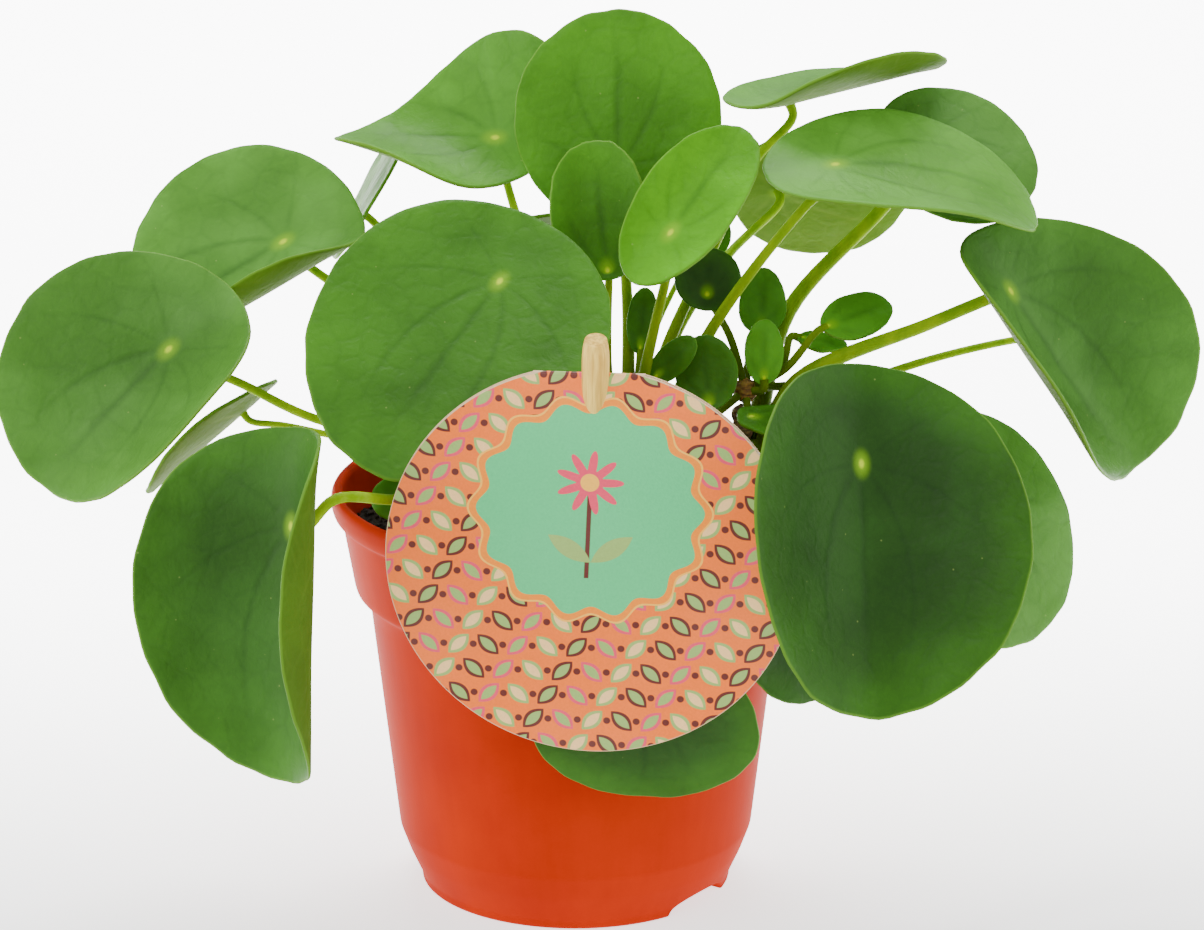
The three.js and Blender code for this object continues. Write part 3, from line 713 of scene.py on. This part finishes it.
def stalkPaint(finish, first, second):
    streak = finish.noise(260, 2, finish.stretched((1, 1, 0.15)))
    freckle = finish.noise(1500, 1)
    colour = finish.blend(streak.rise(0.3, 0.7), first, second)
    colour = finish.blend(finish.attribute("base") * 0.85, colour, stalkFoot)
    return finish.shade(colour, 0.88 + freckle * 0.24), 0.5 + streak * 0.12, streak * 0.6 + freckle * 0.4


def barkPaint(finish, first, second):
    rings = finish.noise(420, 4, finish.stretched((1, 1, 3)))
    cracks = finish.noise(1400, 3)
    colour = finish.blend(rings.rise(0.3, 0.7), first, second)
    return finish.shade(colour, 0.75 + cracks * 0.5), 0.75 + cracks * 0.15, rings + cracks * 0.5


def potPaint(finish, first, second):
    cloud = finish.noise(28, 3)
    grain = finish.noise(1600, 2)
    drawn = finish.noise(330, 2, finish.stretched((1, 1, 0.08)))
    colour = finish.blend(cloud.rise(0.3, 0.7), first, second)
    colour = finish.shade(colour, 0.9 + drawn * 0.12 + grain * 0.08)
    return colour, 0.48 + cloud * 0.12 + grain * 0.06, grain * 0.5 + drawn * 0.5


def soilPaint(finish, first, second):
    clod = finish.noise(160, 4)
    grit = finish.noise(900, 4)
    colour = finish.blend(clod.rise(0.35, 0.7), first, second)
    return finish.blend(grit.rise(0.68, 0.78), colour, soilGrit), 0.85 + grit * 0.12, clod + grit * 0.6


def woodPaint(finish, first, second):
    straight = finish.attribute("straight", "Vector")
    fibre = finish.noise(900, 3, straight)
    pore = finish.noise(2600, 2, straight)
    colour = finish.blend(fibre.rise(0.35, 0.7), first, second)
    return finish.shade(colour, 0.82 + pore * 0.36), 0.55 + fibre * 0.2, fibre + pore * 0.6


materials = {
    "leaf": leafFinish(),
    "stalk": plainFinish("stalkSkin", stalkPaint),
    "bark": plainFinish("bark", barkPaint),
    "knob": plainFinish("shootKnob", barkPaint),
    "pot": plainFinish("terracottaPlastic", potPaint),
    "soil": plainFinish("peatSoil", soilPaint),
    "wood": plainFinish("paleWood", woodPaint),
}
print("finishes made")

stalkSweep = stalkTree()


def leafPieces(name, leaf, size):
    blade = bladePiece(f"blade_{name}", leaf, materials["leaf"], *bladeLooks[size])
    return [blade, stalkPiece(name, leaf, stalkSweep, materials["stalk"], *stalkLooks[size])]


for name, values in bigLeaves.items():
    blade, stalk = leafPieces(name, {**leafDefaults, **values}, "large")
    settle(blade, f"leaf_{name}")
    settle(stalk, f"stalk_{name}")
print("large leaves made:", len(bigLeaves))

for name, values in smallLeaves.items():
    parts = leafPieces(name, {**leafDefaults, **values}, "small")
    settle(combine(f"young_{name}", parts), f"leaf_{name}")

# Stems: bark with rings and lumps

barkLooks = {
    "sides": 40,
    "loops": 70,
    "taperFrom": 0.55,
    "domeFrom": 0.96,
    "domeLength": 0.045,
    "inset": 0.45,  # keeps the lumps within the solid
    "lumps": 0.7,
}


def stemPiece(name, stem, node):
    looks = barkLooks
    foot, head = np.array(stem["foot"], float), np.array(stem["head"], float)
    axis = unit(head - foot)
    across = unit(np.cross(axis, (0, 1, 0)))
    beside = np.cross(axis, across)
    around = circleAngles(looks["sides"])
    share = np.linspace(0, 1, looks["loops"])[:, None]
    run = share * np.linalg.norm(head - foot)
    radii = (stem["radius"], stem["radius"], stem["headRadius"])
    dome = ((share - looks["domeFrom"]) / looks["domeLength"]).clip(0)
    radius = np.interp(share, (0, looks["taperFrom"], 1), radii) * np.sqrt(np.clip(1 - dome**2, 0.05, 1))
    ridge = 0.35 * np.sin(run * 1.35 + 0.9 * np.sin(around)) + 0.22 * np.sin(3 * around + run * 0.8)
    fine = 0.14 * np.sin(7 * around - run * 2.1) + 0.12 * np.sin(run * 4.2 + 2 * around)
    radius = radius - looks["inset"] + looks["lumps"] * (ridge + fine)
    outwards = np.cos(around)[:, None] * across + np.sin(around)[:, None] * beside
    points = foot + run[..., None] * axis + radius[..., None] * outwards
    points = np.concatenate([[foot], points.reshape(-1, 3), [head]])
    faces = [face[::-1] for face in loopFaces(looks["loops"], looks["sides"])]
    settle(newPiece(name, points, faces, materials["bark"]), node)


stemPiece("bark_main", stems["main"], "stem_main")
stemPiece("bark_side", stems["side"], "stem_side")


def knobPiece():
    profile = [(0, -1)] + [(math.cos(a), math.sin(a)) for a in np.linspace(-1.4, 1.4, 14)] + [(0, 1)]
    points, faces = turnedShape(np.array(profile) * shootKnob["radius"], shootKnob["sides"])
    x, y, z = points.T
    lumps = 1 + 0.05 * np.sin(x * 3.1) * np.sin(y * 2.7 + 1) + 0.04 * np.sin(z * 4)
    points = points * (lumps - shootKnob["inset"])[:, None] + shootKnob["centre"]
    return newPiece("knob", points, faces, materials["knob"])


shootParts = []
for count, values in enumerate(shootLeaves, 1):
    leaf = {**leafDefaults, "stalk": shootKnob["stalk"], **values}
    shootParts += leafPieces(f"shoot_{count}", leaf, "small")
settle(combine("young_shoot", shootParts + [knobPiece()]), "shoot_leaves")
print("stems and small leaves made")

# Pot: a turned body, with drain holes and foot notches cut by a node tree

potSizes = {
    "sides": 144,
    "soften": 0.8,
    "holeRadius": 3.2,
    "holeRing": 28.5,
    "holeCount": 6,
    "holeSides": 28,
    "drillLength": 30,
    "sharpFrom": 38,
    "notchAngles": (54, 234),
    "notchHalfWidth": 11.5,
    "notchHeight": 4.4,
    "notchDepths": (-8.5, 7.5),
    "notchSides": 48,
    "footRadius": 38.6,
    "outside": [
        (34.2, 0), (38.6, 0), (38.6, 2), (41.8, 9), (44, 15), (50.5, 71), (51.2, 74.5), (54, 76.5),
        (54.5, 78), (57.5, 95), (59.3, 96), (60, 98), (60, 100.6), (59.2, 102)],
    "inside": [
        (57.8, 102), (57, 101), (56, 95), (53, 79), (49.6, 76.5), (48.9, 72), (42.5, 15.5), (40.4, 10),
        (38.6, 6.5)],
    "channel": [(0, 0), (22, 0), (22.6, 4.8), (33.4, 4.8)],
    "floor": [(21.2, 6.5), (20.4, 2), (0, 2)],
}


def potTree():
    inputs = {"Hole radius": "Float", "Hole ring": "Float", "Hole count": "Int", "Cutters": "Object"}
    tree, given = newTree("potOpenings", {**inputs, "Material": "Material"})
    around = {"Vertices": given["Hole count"], "Radius": given["Hole ring"]}
    ring = makeNode(tree, "GeometryNodeMeshCircle", inputs=around)
    bit = {"Vertices": potSizes["holeSides"], "Radius": given["Hole radius"]}
    bit["Depth"] = potSizes["drillLength"] * mm
    drill = makeNode(tree, "GeometryNodeMeshCylinder", inputs=bit)
    drills = makeNode(tree, "GeometryNodeInstanceOnPoints", inputs={"Points": ring, "Instance": drill})
    arches = makeNode(tree, "GeometryNodeObjectInfo", inputs={"Object": given["Cutters"]}, output="Geometry")
    both = tree.nodes.new("GeometryNodeJoinGeometry")
    for part in (drills, arches):
        tree.links.new(part.socket, both.inputs[0])
    cut = tree.nodes.new("GeometryNodeMeshBoolean")
    cut.operation = "DIFFERENCE"
    cut.solver = "EXACT"
    plug(tree, cut.inputs["Mesh 1"], given["Geometry"])
    cutters = makeNode(tree, "GeometryNodeRealizeInstances", inputs={0: Link(tree, both.outputs[0])})
    plug(tree, cut.inputs["Mesh 2"], cutters)
    return endTree(tree, Link(tree, cut.outputs[0]), given["Material"])


def archCutters():
    pieces = []
    count = potSizes["notchSides"]
    around = circleAngles(count)
    x = potSizes["notchHalfWidth"] * np.cos(around)
    z = potSizes["notchHeight"] * np.sin(around)
    depths = [-potSizes["footRadius"] + shift for shift in potSizes["notchDepths"]]
    ends = np.concatenate([np.stack([x, np.full(count, depth), z], 1) for depth in depths])
    sides = [(k, count + k, count + (k + 1) % count, (k + 1) % count) for k in range(count)]
    faces = sides + [tuple(range(count)), tuple(range(2 * count - 1, count - 1, -1))]
    for angle in potSizes["notchAngles"]:
        turn = np.array(Matrix.Rotation(math.radians(angle), 3, "Z"))
        pieces.append(newPiece("arch", ends @ turn.T, faces, materials["pot"]))
    return combine("arches", pieces)


profile = potSizes["channel"] + potSizes["outside"] + potSizes["inside"] + potSizes["floor"]
potPoints, potFaces = turnedShape(softened(profile, potSizes["soften"]), potSizes["sides"])
potBody = newPiece("potBlank", potPoints, potFaces, materials["pot"])
arches = archCutters()
addTree(potBody, potTree(), **{
    "Hole radius": potSizes["holeRadius"] * mm,
    "Hole ring": potSizes["holeRing"] * mm,
    "Hole count": potSizes["holeCount"],
    "Cutters": arches,
    "Material": materials["pot"],
})
pot = finished(potBody, "moulded_pot")
pot.data.set_sharp_from_angle(angle=math.radians(potSizes["sharpFrom"]))
forget(potBody, arches)
settle(pot, "pot")
print("pot turned and cut:", len(pot.data.polygons))

# Soil: a filled body with a lumpy top, and crumbs scattered over it

soilSizes = {
    "level": 91,
    "bump": 1.2,
    "gap": 0.3,
    "sides": 128,
    "crumbSize": 1.1,
    "crumbShapes": ((0.3, 0.3, 0.25), (1.5, 1.1, 0.8)),  # the least and the most stretch of a crumb
    "crumbsPerSquareMetre": 150000,
    "crumbReach": 53.5,
    "crumbLevel": 88,
    "seed": 7,
    "foot": [(0, 2.3), (20, 2.3), (20.8, 6.8)],
    "walls": [6.8, 10, 15.5, 72, 76.5, 79, 88],
    "wallGap": 0.45,
    "topLoops": 44,
    "sharpFrom": 50,
}


def soilHeight(x, y):
    broad = np.sin(0.13 * x + 1.2) + np.cos(0.17 * y - 0.4)
    fine = np.sin(0.41 * x - 0.33 * y) + np.cos(0.37 * x + 0.45 * y + 2)
    crumb = np.sin(1.3 * x + 0.9 * y) * np.sin(1.1 * y - 0.7 * x) + np.sin(2.3 * x + 1) * np.sin(2.1 * y)
    return soilSizes["level"] + soilSizes["bump"] * (0.45 * broad + 0.35 * fine + 0.2 * crumb)


def soilPiece():
    sizes = soilSizes
    heights, radii = zip(*sorted((height, radius) for radius, height in potSizes["inside"]))
    walls = [(np.interp(height, heights, radii) - sizes["wallGap"], height) for height in sizes["walls"]]
    top = np.interp(sizes["level"], heights, radii) - sizes["gap"]
    surface = [(top * share, sizes["level"]) for share in np.linspace(0.99, 0, sizes["topLoops"])]
    points, faces = turnedShape(sizes["foot"] + walls + surface, sizes["sides"])
    onTop = points[:, 2] > sizes["level"] - 1
    points[onTop, 2] = soilHeight(points[onTop, 0], points[onTop, 1])
    return newPiece("soil_body", points, faces, materials["soil"], sharp=sizes["sharpFrom"])


def crumbTree():
    inputs = {"Density": "Float", "Crumb size": "Float", "Reach": "Float", "Level": "Float", "Seed": "Int"}
    tree, given = newTree("soilCrumbs", {**inputs, "Material": "Material"})
    x, y, z = separated(tree, makeNode(tree, "GeometryNodeInputPosition"))
    chosen = ((x * x + y * y).root() < given["Reach"]) * (z > given["Level"])
    spots = makeNode(
        tree, "GeometryNodeDistributePointsOnFaces", {"distribute_method": "RANDOM"},
        {"Mesh": given["Geometry"], "Selection": chosen, "Density": given["Density"], "Seed": given["Seed"]})
    inputs = {"Radius": given["Crumb size"], "Subdivisions": 1}
    lump = makeNode(tree, "GeometryNodeMeshIcoSphere", inputs=inputs)
    least, most = soilSizes["crumbShapes"]
    drawn = {"data_type": "FLOAT_VECTOR"}
    inputs = {0: (0, 0, 0), 1: (6.28, 6.28, 6.28), "Seed": given["Seed"]}
    turn = makeNode(tree, "FunctionNodeRandomValue", drawn, inputs)
    inputs = {0: least, 1: most, "Seed": given["Seed"] + 1}
    stretch = makeNode(tree, "FunctionNodeRandomValue", drawn, inputs)
    crumbs = makeNode(
        tree, "GeometryNodeInstanceOnPoints",
        inputs={"Points": spots, "Instance": lump, "Rotation": turn, "Scale": stretch})
    return endTree(tree, crumbs, given["Material"])


soil = soilPiece()
addTree(soil, crumbTree(), **{
    "Density": soilSizes["crumbsPerSquareMetre"],
    "Crumb size": soilSizes["crumbSize"] * mm,
    "Reach": soilSizes["crumbReach"] * mm,
    "Level": soilSizes["crumbLevel"] * mm,
    "Seed": soilSizes["seed"],
    "Material": materials["soil"],
})
crumbs = finished(soil, "soil_crumbs")
settle(soil, "soil")
settle(crumbs, "soil")
print("soil filled, crumb faces:", len(crumbs.data.polygons))

# Label on its stick: two round cards joined at a fold, with a generic print of leaf shapes and a flower

labelSizes = {
    "radius": 48.4,
    "centre": (4, -63, 103),
    "leanForward": 4,
    "turnLeft": 6,
    "card": 0.6,
    "gap": 0.5,
    "foldHalfLength": 13,
    "sides": 200,
    "foldSides": 32,
    "slotGap": 0.3,
    "slotSides": 48,
    "sharpFrom": 30,
}
stickSizes = {
    "radius": 3.2,
    "tip": (5.2, -71, 159),
    "foot": (4, -22, 45),
    "sides": 36,
    "rings": 60,
    "roundedShare": 0.06,  # the last part of the stick, which narrows
    "narrowing": 0.18,
    "sharpFrom": 60,
}

printSizes = {
    "panelUp": 13,
    "panelRadius": 25.5,
    "scallop": 1.3,
    "scallops": 14,
    "border": 1.7,
    "cell": 7.0,
    "rowHeight": 6.2,
    "leafLength": 3.5,
    "leafWidth": 1.95,
    "dotRadius": 0.85,
    "flowerUp": 7,
    "petals": 9,
    "petalRadius": 5.6,
    "petalDepth": 2.4,
    "middleRadius": 2.2,
    "stalkTop": 4,
    "stalkFoot": -17,
    "sprigUp": -13,
    "sprigReach": 6,
    "sprigWidth": 2.2,
    "soft": 0.1,  # the width over which one ink meets another
}
printColours = {
    "ground": (0.95, 0.18, 0.016),
    "mint": (0.07, 0.58, 0.21),
    "border": (0.95, 0.26, 0.01),
    "line": (1.0, 0.5, 0.06),
    "sage": (0.3, 0.46, 0.12),
    "brown": (0.12, 0.025, 0.02),
    "pink": (0.8, 0.06, 0.12),
    "cream": (0.95, 0.6, 0.25),
    # the card's paper at its cut edge: real paper, painted a darker tan than bare paper as painted shade
    "paper_edge_with_painted_shade": (0.7, 0.5, 0.3),
}


def cardFinish():
    finish = Finish("printedCard", **{"Specular IOR Level": 0.15, "Coat Roughness": 0.35})
    sizes, colours = printSizes, printColours
    soft = sizes["soft"]
    x, y, _ = finish.parts(finish.attribute("print", "Vector"))

    # The ground: rows of small leaf shapes that lean to either side, in turn
    row = (y / sizes["rowHeight"]).floor()
    shifted = x / sizes["cell"] + row * 0.5
    column = shifted.floor()
    cellX = (shifted - column - 0.5) * sizes["cell"]
    cellY = ((y / sizes["rowHeight"]).fraction() - 0.5) * sizes["rowHeight"]
    kind = ((column + row * 2) / 3).fraction() * 3
    leaning = ((column + row) / 2).fraction() * 4 - 1
    lengthwise = (cellX * leaning + cellY) * 0.707
    crosswise = (cellY - cellX * leaning) * 0.707
    leafShape = sizes["leafWidth"] * (1 - (lengthwise / sizes["leafLength"]) ** 2) - crosswise.size()
    inLeaf = leafShape.rise(-0.08, 0.08)
    inner = leafShape.rise(0.75, 0.9)
    dotFar = ((cellX.size() - sizes["cell"] / 2) ** 2 + cellY * cellY).root()
    dots = 1 - dotFar.rise(sizes["dotRadius"] - soft, sizes["dotRadius"] + soft)
    ink = finish.blend(kind > 0.8, colours["sage"], colours["brown"])
    ink = finish.blend(kind > 1.8, ink, colours["pink"])
    core = finish.blend(kind > 0.8, colours["cream"], colours["sage"])
    ground = finish.blend(inLeaf, colours["ground"], ink)
    ground = finish.blend(inner, ground, core)
    ground = finish.blend(dots, ground, colours["brown"])

    # The panel: a scalloped round field with a daisy on a leafy stem
    up = y - sizes["panelUp"]
    far = (x * x + up * up).root()
    edge = sizes["panelRadius"] + sizes["scallop"] * (up.angle(x) * sizes["scallops"]).cosine()
    inside = edge - far
    flowerY = up - sizes["flowerUp"]
    flowerFar = (x * x + flowerY * flowerY).root()
    petalEdge = sizes["petalRadius"] + sizes["petalDepth"] * (flowerY.angle(x) * sizes["petals"]).cosine()
    petals = (petalEdge - flowerFar).rise(-soft, soft)
    middle = 1 - flowerFar.rise(sizes["middleRadius"] - soft, sizes["middleRadius"] + soft)
    stalk = (0.55 - (x - 0.05 * (up - 5)).size()).rise(-soft, soft)
    stalk = stalk * (up < sizes["stalkTop"]) * (up > sizes["stalkFoot"])
    sprigY, reach = up - sizes["sprigUp"], sizes["sprigReach"]
    sprigAlong = x.size() * 0.83 + sprigY * 0.56
    sprigOff = (sprigY * 0.83 - x.size() * 0.56).size()
    sprig = (sizes["sprigWidth"] * (1 - ((sprigAlong - reach) / reach) ** 2) - sprigOff).rise(-soft, soft)
    panel = finish.blend(stalk, colours["mint"], colours["brown"])
    panel = finish.blend(sprig, panel, colours["sage"])
    panel = finish.blend(petals, panel, colours["pink"])
    panel = finish.blend(middle, panel, colours["line"])
    face = finish.blend(inside.rise(-sizes["border"] - 0.5, -sizes["border"] - 0.4), ground, colours["line"])
    face = finish.blend(inside.rise(-sizes["border"], -sizes["border"] + soft), face, colours["border"])
    face = finish.blend(inside.rise(-soft, soft), face, panel)

    radius = (x * x + y * y).root()
    # The cut edge shows the card's paper, given a darker tan than bare paper as painted shade along the edge
    cutEdge = radius.rise(labelSizes["radius"] - 2 * soft, labelSizes["radius"] - soft)
    weave = finish.noise(1700, 2)
    face = finish.blend(cutEdge, face, colours["paper_edge_with_painted_shade"])
    face = finish.shade(face, 0.9 + weave * 0.2)
    coat = finish.noise(30, 1).rise(0.35, 0.7) * 0.25
    relief = finish.bump(weave, 0.25, 0.0003)
    return finish.give(Base_Color=face, Roughness=0.42 + weave * 0.12, Coat_Weight=coat, Normal=relief)


def extruded(name, outline, low, high, material):
    count = len(outline)
    points = [(x, y, low) for x, y in outline] + [(x, y, high) for x, y in outline]
    faces = [(k, (k + 1) % count, count + (k + 1) % count, count + k) for k in range(count)]
    faces += [tuple(range(count - 1, -1, -1)), tuple(range(count, 2 * count))]
    return newPiece(name, points, faces, material)


def carved(target, cutter, operation):
    modifier = target.modifiers.new(operation.lower(), "BOOLEAN")
    modifier.object = cutter
    modifier.operation = operation
    modifier.solver = "EXACT"
    made = finished(target, target.name)
    forget(target, cutter)
    return made


def straightTube(name, foot, head, radii, sides, material):
    # A straight round bar with a radius at each of its rings, and its own coordinates for the grain
    foot, head = np.array(foot, float), np.array(head, float)
    axis = unit(head - foot)
    across = unit(np.cross((0, 1, 0), axis))
    beside = np.cross(axis, across)
    around = circleAngles(sides)
    shares = np.linspace(0, 1, len(radii))[:, None]
    radii = np.array(radii)[:, None]
    run = shares * np.linalg.norm(head - foot)
    drawnOut = 0.06  # the grain is this much shorter along the bar than across it
    flat = (radii * np.cos(around), radii * np.sin(around), drawnOut * run + 0 * around)
    centre = foot + run[..., None] * axis
    points = centre + flat[0][..., None] * across + flat[1][..., None] * beside
    points = np.concatenate([[foot], points.reshape(-1, 3), [head]])
    straight = np.stack(flat, -1).reshape(-1, 3)
    straight = np.concatenate([[(0, 0, 0)], straight, [(0, 0, straight[-1, 2])]]) * mm
    faces = [face[::-1] for face in loopFaces(len(radii), sides)]
    return newPiece(name, points, faces, material, {"straight": straight})


def arc(radius, angles):
    return [(radius * math.cos(angle), radius * math.sin(angle)) for angle in angles]


def labelPiece(material):
    sizes = labelSizes
    rise = math.sqrt(sizes["radius"] ** 2 - sizes["foldHalfLength"] ** 2)
    start = math.atan2(rise, -sizes["foldHalfLength"])
    end = math.atan2(rise, sizes["foldHalfLength"]) + 2 * math.pi
    outline = arc(sizes["radius"], np.linspace(start, end, sizes["sides"]))
    foldRadius = sizes["card"] + sizes["gap"] / 2
    front = extruded("front", outline, 0, sizes["card"], material)
    back = extruded("back", outline, -sizes["card"] - sizes["gap"], -sizes["gap"], material)
    bend = arc(foldRadius, circleAngles(sizes["foldSides"]))
    fold = extruded("fold", bend, -sizes["foldHalfLength"], sizes["foldHalfLength"], material)
    fold.data.transform(Matrix.Rotation(math.radians(90), 4, "Y"))
    fold.data.transform(Matrix.Translation((0, (rise - foldRadius * 0.5) * mm, -sizes["gap"] / 2 * mm)))
    stand = Matrix.Rotation(math.radians(-sizes["turnLeft"]), 4, "Z")
    stand = stand @ Matrix.Rotation(math.radians(90 + sizes["leanForward"]), 4, "X")
    stand.translation = [value * mm for value in sizes["centre"]]
    card = carved(carved(front, fold, "UNION"), back, "UNION")
    card.data.transform(stand)
    foot, tip = stickSizes["foot"], stickSizes["tip"]
    slotRadii = [stickSizes["radius"] + sizes["slotGap"]] * 2
    slot = straightTube("slot", foot, tip, slotRadii, sizes["slotSides"], material)
    card = carved(card, slot, "DIFFERENCE")
    flat = np.array([stand.inverted() @ vertex.co for vertex in card.data.vertices], np.float32) / mm
    field = card.data.attributes.new("print", "FLOAT_VECTOR", "POINT")
    field.data.foreach_set("vector", flat.ravel())
    card.data.shade_smooth()
    card.data.set_sharp_from_angle(angle=math.radians(sizes["sharpFrom"]))
    card.name = "folded_card"
    return card


def stickPiece(material):
    sizes = stickSizes
    left = 1 - np.linspace(0, 1, sizes["rings"])
    rounding = np.clip(1 - left / sizes["roundedShare"], 0, 1) ** 3
    radii = sizes["radius"] * (1 - sizes["narrowing"] * rounding)
    stick = straightTube("wooden_stick", sizes["foot"], sizes["tip"], radii, sizes["sides"], material)
    stick.data.set_sharp_from_angle(angle=math.radians(sizes["sharpFrom"]))
    return stick


settle(labelPiece(cardFinish()), "label")
settle(stickPiece(materials["wood"]), "label_stick")
print("label and stick made")

# Floor, light and camera

studio = {
    "reach": 6000,
    "drop": 0.05,  # how far the floor lies below the pot
    "floor": ((0.88, 0.88, 0.88), (0.9, 0.9, 0.9)),
    "glow": ((0.08, 0.08, 0.08), (1, 1, 1)),  # the floor is lit from within, more so behind the plant
    "glowFrom": -0.15,  # in metres, like the lamps' places and widths
    "glowTo": 0.3,
    "glowStrength": 6,
    "world": 0.95,
    "lamps": {  # place, aim, width, power and spread of each round softbox
        "left": ((-1.4, -0.25, 0.6), (0, 0, 0.12), 1.0, 11, 180),
        "right": ((1.4, -0.2, 0.6), (0, 0, 0.12), 1.0, 7, 180),
        "front": ((-0.4, -1.0, 1.4), (0, 0, 0.12), 0.8, 12, 180),
        "back": ((0, 1.0, 1.5), (0, 1.0, 0), 0.9, 25, 90),
    },
}


def floorFinish():
    finish = Finish("paleFloor", **{"Specular IOR Level": 0.1, "Emission Strength": studio["glowStrength"]})
    cloud = finish.noise(3, 2)
    behind = finish.parts(finish.place)[1].rise(studio["glowFrom"], studio["glowTo"])
    glow = finish.blend(behind, *studio["glow"])
    return finish.give(Base_Color=finish.blend(cloud, *studio["floor"]), Roughness=0.9, Emission_Color=glow)


def softbox(name, place, aim, size, power, spread):
    lamp = bpy.data.lights.new(name, "AREA")
    lamp.shape = "DISK"
    lamp.size = size
    lamp.energy = power
    lamp.spread = math.radians(spread)
    holder = inScene(name, lamp)
    direction = Vector(place) - Vector(aim)
    holder.matrix_world = Matrix.Translation(place) @ direction.to_track_quat("Z", "Y").to_matrix().to_4x4()


reach, drop = studio["reach"], studio["drop"]
corners = [(-reach, -reach, -drop), (reach, -reach, -drop), (reach, reach, -drop), (-reach, reach, -drop)]
floor = newPiece("floor", corners, [(0, 1, 2, 3)], floorFinish())
for name, values in studio["lamps"].items():
    softbox(name, *values)
world = bpy.data.worlds.new("studio")
world.use_nodes = True
background = world.node_tree.nodes["Background"]
background.inputs[0].default_value = (1, 1, 1, 1)
background.inputs[1].default_value = studio["world"]
bpy.context.scene.world = world

lens = bpy.data.cameras.new("camera")
lens.sensor_width = view["sensor"]
lens.lens = view["focalPixels"] * view["sensor"] / view["imageWidth"]
lens.clip_start, lens.clip_end = 0.05, 50
camera = inScene("camera", lens)
down = math.radians(view["pitchDown"])
aimX, aimY, aimZ = (value * mm for value in view["aim"])
away = view["distance"] * mm
camera.location = (aimX, aimY - away * math.cos(down), aimZ + away * math.sin(down))
camera.rotation_euler = (math.pi / 2 - down, 0, 0)
bpy.context.scene.camera = camera
print("floor, light and camera set")
